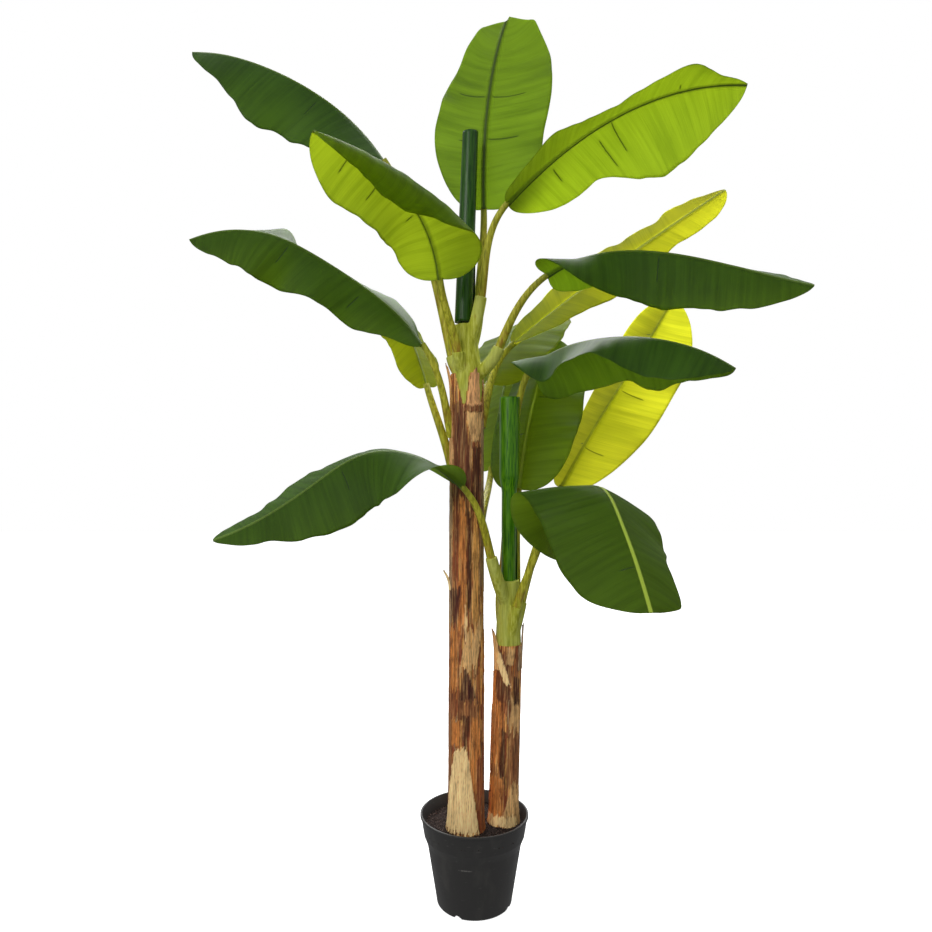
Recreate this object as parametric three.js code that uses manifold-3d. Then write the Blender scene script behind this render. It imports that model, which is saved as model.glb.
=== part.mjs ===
// An artificial banana plant: two stems with wrapped fibre bark in a black nursery pot,
// fifteen leaves on stalks and one rolled young leaf standing on each stem.
// Millimetres, +Z up. The origin is the middle of the pot's flat underside; -Y is the front.
import * as THREE from 'three';
import { mergeVertices } from 'three/addons/utils/BufferGeometryUtils.js';
import Module from 'manifold-3d';

const wasm = await Module();
wasm.setup();

// Driving dimensions

const seam = 0.3; // gap between pieces that touch

const pot = {
  sides: 40,
  height: 180,
  rimRadius: 110,
  collarRadius: 102.2, // outside, at the collar's lower edge
  collarHeight: 41,
  shoulderHeight: 17, // slope from the collar in to the body
  bodyRadius: 95.3,
  footRadius: 76.5,
  footRound: 7,
  wall: 2.4,
  floor: 4,
  lip: 2, // how far the rim's lip stands out
  lipHeight: 5,
  notches: 4,
  notchWidth: 18,
  notchDepth: 7,
  notchHeight: 5,
  firstNotch: 248, // degrees
};
const soilLevel = 155;

const stems = {
  tall: {
    foot: [-17, -15], head: [-15, -15], top: 1070,
    footRadius: 36.5, headRadius: 33, flare: 2.5, flareHeight: 45, sides: 22, steps: 12,
  },
  short: {
    foot: [60, 15], head: [70, 15], top: 520,
    footRadius: 29.5, headRadius: 28, flare: 3, flareHeight: 40, sides: 20, steps: 8,
  },
};
const barkRidge = { height: 0.8, count: 5, turn: 0.006 };

// The rolled young leaf that stands on each stem, and the sheath core that holds it.
const rollSides = 18;
const rolls = {
  tall: { foot: [-21, -12, 1176], head: [-7, -8, 1562], footRadius: 21.5, headRadius: 18 },
  short: { foot: [71, 8, 640], head: [74, 8, 1026], footRadius: 18.5, headRadius: 20 },
};
const cores = {
  tall: { height: 118, footRadius: 29, headRadius: 23.5 },
  short: { height: 132, footRadius: 25, headRadius: 21.5 },
};
const sleeve = { footRadius: 14, headRadius: 12, reach: 110, handle: 0.5, sides: 12, steps: 6 };

const stalk = {
  footRadius: 9.5, headRadius: 6.5, sides: 8, steps: 8, plug: 12, lift: 0.5,
  footHandle: 0.35, headHandle: 0.35,
};
const blade = {
  across: 6, along: 14,
  thick: 0.0105, // share of the length
  ribDepth: 6, // below the blade's underside at its foot, thinning by ribTaper to the tip
  ribTaper: 0.8,
  ribHalf: 7, // least half width at the foot and at the tip
  tipHalf: 3,
  droop: 12, // how much more the edge hangs than the fold at the midrib
  bends: 6,
  offBark: 7,
};
const outline = { widest: 0.45, foot: [2.5, 0.48], tip: [2.3, 0.55], lobe: 0.2, lobeFade: 4 };
const wave = { height: 4, count: 2.5, left: 0.15, right: 0.6 };

// The leaves. A stalk comes out of its sheath at from, or out of the bark at a side and level.
// Base is where the stalk ends and the midrib begins. Azimuth is the way the midrib heads,
// 0 to the right and 90 to the back, turning by sweep on its way to the tip. Climb is the
// midrib's slope at its start, middle and tip. Left and right say how far each half hangs from
// the midrib at the same three places, seen from the stem, and roll turns both about it.
// Lobe sweeps the foot of the blade back, widest is where it is broadest, and a high blunt
// gives a broad tip.
const leaves = [
  {
    name: 'upper_left', stem: 'tall', from: [-46, -6, 1108], base: [-185, 30, 1520],
    azimuth: 180, sweep: 0, climb: [50, 26, 12], length: 485, width: 215, blunt: 1.9,
    left: [50, 72, 35], right: [0, 0, 10],
  },
  {
    name: 'near_left', stem: 'tall', from: [-33, -46, 1111], base: [-67, -90, 1242],
    azimuth: 245, sweep: -20, climb: [76, 22, 4], length: 392, width: 205,
    left: [10, 18, 15], right: [25, 58, 30],
  },
  {
    name: 'top', stem: 'tall', from: [8, 10, 1214], base: [20, 30, 1418],
    azimuth: 40, sweep: 0, climb: [92, 82, 68], length: 450, width: 245, roll: 50, blunt: 3.4,
    left: [15, 25, 30], right: [0, 0, 0],
  },
  {
    name: 'upper_right', stem: 'tall', from: [13, -36, 1222], base: [64, -40, 1406],
    azimuth: -12, sweep: 0, climb: [45, 24, -8], length: 510, width: 230, widest: 0.55,
    left: [15, 54, 58], right: [-10, 0, -10],
  },
  {
    name: 'mid_left', stem: 'tall', side: 190, level: 955, base: [-100, -60, 1122],
    azimuth: 182, sweep: 0, climb: [57, 29, -16], length: 540, width: 230,
    left: [40, 75, 60], right: [15, 0, 10],
  },
  {
    name: 'back_left', stem: 'tall', side: 165, level: 890, base: [-98, 20, 1051],
    azimuth: 113, sweep: 0, climb: [55, 35, 20], length: 490, width: 172, lobe: 0,
    left: [60, 60, 40], right: [20, 30, 30],
  },
  {
    name: 'mid_right', stem: 'tall', from: [49, -30, 1122], base: [140, -60, 1258],
    azimuth: -20, sweep: 0, climb: [36, -9, -32], length: 505, width: 228, lobe: 0.5,
    left: [40, 14, 22], right: [-40, 75, 60],
  },
  {
    name: 'far_right', stem: 'tall', side: 20, level: 975, base: [85, 75, 1148],
    azimuth: -5, sweep: 0, climb: [52, 37, 22], length: 560, width: 225,
    left: [-20, -25, -20], right: [5, 52, 60],
  },
  {
    name: 'back_right', stem: 'tall', side: 65, level: 985, base: [30, 60, 1060],
    azimuth: 62, sweep: 0, climb: [50, 30, 10], length: 450, width: 200,
    left: [0, 10, 10], right: [10, 10, 10],
  },
  {
    name: 'low_back', stem: 'tall', side: 35, level: 765, base: [40, 155, 880],
    azimuth: 75, sweep: 0, climb: [65, 50, 35], length: 400, width: 190,
    left: [40, 40, 30], right: [10, 20, 20],
  },
  {
    name: 'bright', stem: 'short', from: [98, 26, 604], base: [188, 80, 840],
    azimuth: 20, sweep: 0, climb: [60, 55, 58], length: 500, width: 220, roll: 60, lobe: 0.1,
    left: [50, 50, 20], right: [0, 0, 0],
  },
  {
    name: 'short_right', stem: 'short', from: [58, 44, 625], base: [118, 14, 1087],
    azimuth: -35, sweep: 0, climb: [34, -5, -38], length: 437, width: 228, lobe: 0.5, headHandle: 0.14,
    left: [60, 10, 20], right: [-40, 62, 60],
  },
  {
    name: 'short_back', stem: 'short', from: [88, 42, 632], base: [94, 50, 835],
    azimuth: 65, sweep: 0, climb: [75, 55, 40], length: 440, width: 220,
    left: [10, 20, 20], right: [0, 10, 20],
  },
  {
    name: 'short_front', stem: 'short', from: [85, -12, 601], base: [132, -40, 736],
    azimuth: -38, sweep: -52, climb: [78, -26, -64], length: 455, width: 235, lobe: 0.1, blunt: 3.2,
    left: [15, 28, 25], right: [5, 30, 18],
  },
  {
    name: 'short_left', stem: 'short', from: [33, -36, 703], base: [-23, -72, 844],
    azimuth: 190, sweep: 0, climb: [50, -19, -28], length: 515, width: 230, lobe: -0.2, blunt: 1.6,
    left: [-30, 48, 42], right: [0, -8, -8],
  },
];

// Strips of bark that stand off the stems: side in degrees, level of the lower end, height,
// width at the foot and how far the tip stands off the bark.
const flaps = [
  { name: 'bark_flap_left', stem: 'tall', side: 183, level: 1020, height: 70, width: 26, lift: 9 },
  { name: 'bark_flap_front', stem: 'tall', side: 300, level: 1000, height: 80, width: 24, lift: 3 },
  { name: 'bark_stub', stem: 'tall', side: 188, level: 640, height: 36, width: 10, lift: 9 },
  { name: 'bark_flap_torn', stem: 'short', side: 205, level: 470, height: 85, width: 24, lift: 9 },
  { name: 'bark_strip', stem: 'short', side: 350, level: 470, height: 92, width: 12, lift: 3 },
];
const flapThick = 3;
const flapTaper = 0.75;

const degree = Math.PI / 180;

// Materials

function finish(color, roughness) {
  return new THREE.MeshStandardMaterial({ color, roughness, metalness: 0 });
}
const blackPlastic = finish(0x2b2b2a, 0.45);
const granules = finish(0x2e2326, 0.95);
const bark = finish(0x8a5a34, 0.9);
const sheath = finish(0xa3aa4c, 0.55);
const olive = finish(0x8c8a34, 0.5);
const leafGreen = finish(0x3f6a2a, 0.45);

// Shared geometry

function closed(geometry) {
  const plain = geometry.clone();
  plain.deleteAttribute('normal');
  plain.deleteAttribute('uv');
  return mergeVertices(plain, 1e-4);
}

function toSolid(geometry) {
  const merged = closed(geometry);
  return new wasm.Manifold(new wasm.Mesh({
    numProp: 3,
    vertProperties: new Float32Array(merged.attributes.position.array),
    triVerts: new Uint32Array(merged.index.array),
  }));
}

function toGeometry(solid) {
  const mesh = solid.getMesh();
  const geometry = new THREE.BufferGeometry();
  geometry.setAttribute('position', new THREE.BufferAttribute(mesh.vertProperties, 3));
  geometry.setIndex(new THREE.BufferAttribute(mesh.triVerts, 1));
  return geometry;
}

// Moves every corner of a geometry by a rule, which gets the corner and returns its new place.
function reshape(geometry, rule) {
  const shaped = closed(geometry);
  const corners = shaped.attributes.position;
  const corner = new THREE.Vector3();
  for (let i = 0; i < corners.count; i += 1) {
    corner.fromBufferAttribute(corners, i);
    const place = rule(corner.clone());
    corners.setXYZ(i, place.x, place.y, place.z);
  }
  return shaped;
}

// A round bar along a curve, with a radius at each end.
function taperedBar(curve, footRadius, headRadius, sides, steps) {
  const bar = new THREE.CylinderGeometry(1, 1, 1, sides, steps);
  return reshape(bar, (corner) => {
    const t = corner.y + 0.5;
    const along = curve.getTangent(t);
    const across = new THREE.Vector3(0, 1, 0).cross(along).normalize();
    const third = new THREE.Vector3().crossVectors(across, along);
    const radius = footRadius + (headRadius - footRadius) * t;
    return curve.getPoint(t)
      .addScaledVector(across, corner.x * radius)
      .addScaledVector(third, corner.z * radius);
  });
}

function part(name, geometry, material) {
  const mesh = new THREE.Mesh(geometry, material);
  mesh.name = name;
  return mesh;
}

// Pot and its filling

function makePot() {
  const collarFoot = pot.height - pot.collarHeight;
  const bodyTop = collarFoot - pot.shoulderHeight;
  const under = pot.rimRadius - pot.lip;
  const profile = [
    [0, 0],
    [pot.footRadius - pot.footRound, 0],
    [pot.footRadius - 0.3 * pot.footRound, 0.3 * pot.footRound],
    [pot.footRadius, pot.footRound],
    [pot.bodyRadius, bodyTop],
    [pot.collarRadius, collarFoot],
    [under, pot.height - pot.lipHeight],
    [pot.rimRadius, pot.height - pot.lipHeight],
    [pot.rimRadius, pot.height],
    [under - pot.wall, pot.height],
    [pot.collarRadius - pot.wall, collarFoot + 1],
    [pot.bodyRadius - pot.wall, bodyTop + 1],
    [pot.footRadius - pot.wall, pot.footRound + pot.floor],
    [pot.footRadius - pot.footRound, pot.floor],
    [0, pot.floor],
  ].map(([radius, z]) => new THREE.Vector2(radius, z));
  const shell = new THREE.LatheGeometry(profile, pot.sides).rotateX(Math.PI / 2);
  let body = toSolid(shell);
  for (let i = 0; i < pot.notches; i += 1) {
    const cutter = new THREE.BoxGeometry(2 * pot.notchDepth, pot.notchWidth, 2 * pot.notchHeight);
    cutter.translate(pot.footRadius, 0, 0);
    cutter.rotateZ((pot.firstNotch + 360 / pot.notches * i) * degree);
    body = body.subtract(toSolid(cutter));
  }
  return part('pot', toGeometry(body), blackPlastic);
}

function makeSoil() {
  const collarFoot = pot.height - pot.collarHeight;
  const bodyTop = collarFoot - pot.shoulderHeight;
  const inset = pot.wall + 2 * seam;
  const soilRadius = pot.collarRadius + (soilLevel - collarFoot) / pot.collarHeight
    * (pot.rimRadius - pot.lip - pot.collarRadius) - inset;
  const profile = [
    [0, pot.floor + seam],
    [pot.footRadius - pot.footRound - inset, pot.floor + seam],
    [pot.footRadius - inset, pot.footRound + pot.floor + seam],
    [pot.bodyRadius - inset, bodyTop + 1],
    [pot.collarRadius - inset, collarFoot + 1],
    [soilRadius, soilLevel],
    [0, soilLevel],
  ].map(([radius, z]) => new THREE.Vector2(radius, z));
  const filling = new THREE.LatheGeometry(profile, pot.sides).rotateX(Math.PI / 2);
  return part('pot_fill', closed(filling), granules);
}

// Stems

function stemCentre(stem, z) {
  const t = (z - soilLevel) / (stem.top - soilLevel);
  return new THREE.Vector3(
    stem.foot[0] + (stem.head[0] - stem.foot[0]) * t,
    stem.foot[1] + (stem.head[1] - stem.foot[1]) * t,
    z,
  );
}

function barkRadius(stem, angle, z) {
  const rise = z - soilLevel;
  const t = rise / (stem.top - soilLevel);
  const plain = stem.footRadius + (stem.headRadius - stem.footRadius) * t;
  const flare = stem.flare * Math.max(0, 1 - rise / stem.flareHeight) ** 2;
  const ridge = barkRidge.height * Math.sin(barkRidge.count * angle + barkRidge.turn * z);
  return plain + flare + ridge;
}

function onBark(stem, angle, z, clear) {
  const reach = barkRadius(stem, angle, z) + clear;
  return stemCentre(stem, z)
    .add(new THREE.Vector3(Math.cos(angle) * reach, Math.sin(angle) * reach, 0));
}

function makeTrunk(name, key) {
  const stem = stems[key];
  const foot = soilLevel + seam;
  const post = new THREE.CylinderGeometry(1, 1, 1, stem.sides, stem.steps).rotateX(Math.PI / 2);
  const shaped = reshape(post, (corner) => {
    const z = foot + (stem.top - foot) * (corner.z + 0.5);
    const angle = Math.atan2(corner.y, corner.x);
    const reach = Math.hypot(corner.x, corner.y) * barkRadius(stem, angle, z);
    return stemCentre(stem, z)
      .add(new THREE.Vector3(Math.cos(angle) * reach, Math.sin(angle) * reach, 0));
  });
  const held = leaves.filter((leaf) => leaf.stem === key && !leaf.from);
  return part(name, toGeometry(withSockets(toSolid(shaped), held)), bark);
}

function makeFlap(flap) {
  const stem = stems[flap.stem];
  const strip = new THREE.BoxGeometry(1, 1, 1, 3, 1, 3);
  const shaped = reshape(strip, (corner) => {
    const t = corner.z + 0.5;
    const z = flap.level + flap.height * t;
    const taper = 1 - flapTaper * t ** 2;
    const angle = flap.side * degree + corner.x * flap.width * taper / stem.headRadius;
    const outside = (corner.y > 0 ? 0 : flapThick) + flap.lift * t ** 2;
    return onBark(stem, angle, Math.min(z, stem.top), 2 * seam + outside).setZ(z);
  });
  return part(flap.name, shaped, bark);
}

// Rolled young leaves

function rollLine(roll) {
  return new THREE.LineCurve3(new THREE.Vector3(...roll.foot), new THREE.Vector3(...roll.head));
}

function makeRoll(name, roll) {
  const bar = taperedBar(rollLine(roll), roll.footRadius, roll.headRadius, rollSides, 3);
  return part(name, bar, leafGreen);
}

// Leaf rule

// A smooth run through a value at the start, the middle and the tip.
function run([start, middle, tip], t) {
  return start + (4 * middle - 3 * start - tip) * t + (2 * start - 4 * middle + 2 * tip) * t * t;
}

function heading(leaf, t) {
  const azimuth = (leaf.azimuth + leaf.sweep * t) * degree;
  const slope = run(leaf.climb, t) * degree;
  return new THREE.Vector3(
    Math.cos(slope) * Math.cos(azimuth),
    Math.cos(slope) * Math.sin(azimuth),
    Math.sin(slope),
  );
}

// Places along the midrib, each with the directions along it, to its left and up off the blade.
function midrib(leaf, steps) {
  const place = new THREE.Vector3(...leaf.base);
  const stations = [];
  for (let i = 0; i <= steps; i += 1) {
    const t = i / steps;
    const along = heading(leaf, t);
    const azimuth = (leaf.azimuth + leaf.sweep * t) * degree;
    const flat = new THREE.Vector3(-Math.sin(azimuth), Math.cos(azimuth), 0);
    const rise = new THREE.Vector3().crossVectors(along, flat);
    const roll = (leaf.roll ?? 0) * degree;
    stations.push({
      place: place.clone(),
      along,
      left: flat.clone().multiplyScalar(Math.cos(roll)).addScaledVector(rise, Math.sin(roll)),
      up: rise.clone().multiplyScalar(Math.cos(roll)).addScaledVector(flat, -Math.sin(roll)),
    });
    place.addScaledVector(heading(leaf, (i + 0.5) / steps), leaf.length / steps);
  }
  return stations;
}

// Half the blade's width at t: a round foot, widest near the middle, and a blunt tip.
function halfWidth(leaf, t) {
  const widest = leaf.widest ?? outline.widest;
  const blunt = leaf.blunt ?? outline.tip[0];
  const share = t < widest
    ? (1 - (1 - t / widest) ** outline.foot[0]) ** outline.foot[1]
    : (1 - ((t - widest) / (1 - widest)) ** blunt) ** outline.tip[1];
  const least = blade.ribHalf + (blade.tipHalf - blade.ribHalf) * t;
  return Math.max(leaf.width / 2 * share, least);
}

// A point of the blade. Side is 1 on the left half and -1 on the right, r runs from the
// midrib to the edge, and offset stands off the surface.
function bladePoint(leaf, station, t, side, r, offset) {
  const fold = run(side > 0 ? leaf.left : leaf.right, t);
  const wide = halfWidth(leaf, t) * r;
  let out = 0;
  let down = 0;
  for (let k = 0; k < blade.bends; k += 1) {
    const hang = (fold + blade.droop * r * (k + 0.5) / blade.bends) * degree;
    out += Math.cos(hang) * wide / blade.bends;
    down += Math.sin(hang) * wide / blade.bends;
  }
  const ripple = Math.sin(2 * Math.PI * (wave.count * t + (side > 0 ? wave.left : wave.right)));
  const lift = wave.height * r ** 2 * ripple * Math.sqrt(Math.sin(Math.PI * t));
  const lobe = leaf.lobe ?? outline.lobe;
  const back = lobe * (wide - blade.ribHalf * r) * r ** 2 * (1 - t) ** outline.lobeFade;
  const hang = r > 0 ? (fold + blade.droop * r) * degree : 0;
  return station.place.clone()
    .addScaledVector(station.left, side * (out + offset * Math.sin(hang)))
    .addScaledVector(station.up, lift - down + offset * Math.cos(hang))
    .addScaledVector(station.along, -back);
}

// A blade that would cut into a stem lies against the bark instead.
function clearOfBark(place) {
  for (const stem of Object.values(stems)) {
    const centre = stemCentre(stem, place.z);
    const out = place.clone().sub(centre);
    const reach = barkRadius(stem, Math.atan2(out.y, out.x), place.z) + blade.offBark;
    if (place.z < stem.top && out.length() < reach) {
      place.copy(centre).addScaledVector(out.normalize(), reach);
    }
  }
  return place;
}

function makeBlade(leaf) {
  const stations = midrib(leaf, blade.along);
  const slab = new THREE.BoxGeometry(1, 1, 1, blade.across, 1, blade.along);
  const shaped = reshape(slab, (corner) => {
    const t = corner.z + 0.5;
    const station = stations[Math.round(t * blade.along)];
    const r = Math.abs(corner.x) * 2;
    const rib = r > 0.01 || corner.y > 0 ? 0 : blade.ribDepth * (1 - blade.ribTaper * t);
    const offset = Math.sign(corner.y) * blade.thick * leaf.length / 2 - rib;
    return clearOfBark(bladePoint(leaf, station, t, corner.x < 0 ? -1 : 1, r, offset));
  });
  return part(`leaf_${leaf.name}`, shaped, leafGreen);
}

// Stalks and the sheath crowns that hold them

// Where a stalk comes out of its sheath or of the bark.
function stalkMouth(leaf) {
  if (leaf.from) {
    return new THREE.Vector3(...leaf.from);
  }
  return onBark(stems[leaf.stem], leaf.side * degree, leaf.level, 0);
}

function stalkStart(leaf) {
  const way = new THREE.Vector3(...leaf.base).sub(stalkMouth(leaf)).normalize();
  way.z += stalk.lift;
  return way.normalize();
}

function stalkCurve(leaf, sunk) {
  const mouth = stalkMouth(leaf);
  const foot = mouth.clone().addScaledVector(stalkStart(leaf), -sunk);
  const head = new THREE.Vector3(...leaf.base).addScaledVector(heading(leaf, 0), -seam);
  const span = head.distanceTo(foot);
  const headHandle = leaf.headHandle ?? stalk.headHandle;
  return new THREE.CubicBezierCurve3(
    foot,
    foot.clone().addScaledVector(stalkStart(leaf), span * stalk.footHandle),
    head.clone().addScaledVector(heading(leaf, 0), -span * headHandle),
    head,
  );
}

function stalkBar(leaf, sunk, clear) {
  const curve = stalkCurve(leaf, sunk);
  return taperedBar(curve, stalk.footRadius + clear, stalk.headRadius + clear, stalk.sides, stalk.steps);
}

function makeStalk(leaf) {
  return part(`stalk_${leaf.name}`, stalkBar(leaf, stalk.plug, 0), olive);
}

// Cuts a socket for each stalk that the body holds.
function withSockets(body, held) {
  return held.reduce(
    (rest, leaf) => rest.subtract(toSolid(stalkBar(leaf, stalk.plug + seam, seam))),
    body,
  );
}

function makeCrown(name, key) {
  const stem = stems[key];
  const core = cores[key];
  const foot = stem.top + seam;
  const centre = stemCentre(stem, stem.top);
  const middle = new THREE.LineCurve3(
    centre.clone().setZ(foot),
    new THREE.Vector3(...rolls[key].foot).setZ(foot + core.height),
  );
  const held = leaves.filter((leaf) => leaf.stem === key && leaf.from);
  let crown = toSolid(taperedBar(middle, core.footRadius, core.headRadius, rollSides, 2));
  for (const leaf of held) {
    const end = stalkMouth(leaf);
    const start = centre.clone().setZ(Math.max(end.z - sleeve.reach, foot - sleeve.footRadius));
    const grip = start.distanceTo(end) * sleeve.handle;
    const line = new THREE.QuadraticBezierCurve3(
      start,
      end.clone().addScaledVector(stalkStart(leaf), -grip),
      end,
    );
    const wrap = taperedBar(line, sleeve.footRadius, sleeve.headRadius, sleeve.sides, sleeve.steps);
    crown = crown.add(toSolid(wrap));
  }
  const roll = rolls[key];
  const room = taperedBar(rollLine(roll), roll.footRadius + seam, roll.headRadius + seam, rollSides, 3);
  room.translate(0, 0, -seam);
  const below = new THREE.BoxGeometry(400, 400, 200).translate(centre.x, centre.y, foot - 100);
  crown = crown.subtract(toSolid(room)).subtract(toSolid(below));
  return part(name, toGeometry(withSockets(crown, held)), sheath);
}

const plant = new THREE.Group();
plant.add(makePot());
plant.add(makeSoil());
plant.add(makeTrunk('trunk_tall', 'tall'));
plant.add(makeTrunk('trunk_short', 'short'));
plant.add(makeCrown('crown_tall', 'tall'));
plant.add(makeCrown('crown_short', 'short'));
plant.add(makeRoll('roll_tall', rolls.tall));
plant.add(makeRoll('roll_short', rolls.short));
for (const leaf of leaves) {
  plant.add(makeStalk(leaf));
  plant.add(makeBlade(leaf));
}
for (const flap of flaps) {
  plant.add(makeFlap(flap));
}

export default plant;
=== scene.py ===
# Artificial banana plant in a black nursery pot: two bark-wrapped stems, fifteen leaves, two rolled leaves.
import math
import random

import bpy
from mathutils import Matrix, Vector, noise


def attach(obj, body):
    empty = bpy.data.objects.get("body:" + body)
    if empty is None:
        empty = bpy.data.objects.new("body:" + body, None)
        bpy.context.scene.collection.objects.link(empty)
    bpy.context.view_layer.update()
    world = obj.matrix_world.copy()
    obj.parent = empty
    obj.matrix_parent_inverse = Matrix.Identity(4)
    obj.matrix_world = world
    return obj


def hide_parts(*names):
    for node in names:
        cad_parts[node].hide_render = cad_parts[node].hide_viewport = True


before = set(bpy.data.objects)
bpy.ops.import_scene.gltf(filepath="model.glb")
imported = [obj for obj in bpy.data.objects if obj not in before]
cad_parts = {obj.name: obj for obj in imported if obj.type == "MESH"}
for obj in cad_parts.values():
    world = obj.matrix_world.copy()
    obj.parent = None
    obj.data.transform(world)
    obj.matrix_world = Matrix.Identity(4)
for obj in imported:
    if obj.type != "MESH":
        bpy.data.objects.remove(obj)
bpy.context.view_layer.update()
mm = 0.001  # sizes below are in millimetres, as on a drawing
degree = math.pi / 180
print("frame loaded")

# Stems and leaves: the sizes that everything else is worked out from

soilLevel = 155
stems = {
    "tall": {"foot": (-17, -15), "head": (-15, -15), "top": 1070, "footRadius": 36.5, "headRadius": 33,
             "flare": 2.5, "flareHeight": 45},
    "short": {"foot": (60, 15), "head": (70, 15), "top": 520, "footRadius": 29.5, "headRadius": 28,
              "flare": 3, "flareHeight": 40},
}
rolls = {
    "tall": {"foot": (-21, -12, 1176), "head": (-7, -8, 1562), "footRadius": 21.5, "headRadius": 18,
             "step": (0.0, 1.0)},
    "short": {"foot": (71, 8, 640), "head": (74, 8, 1026), "footRadius": 17.5, "headRadius": 23,
              "step": (0.50, 0.08)},
}

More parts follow.
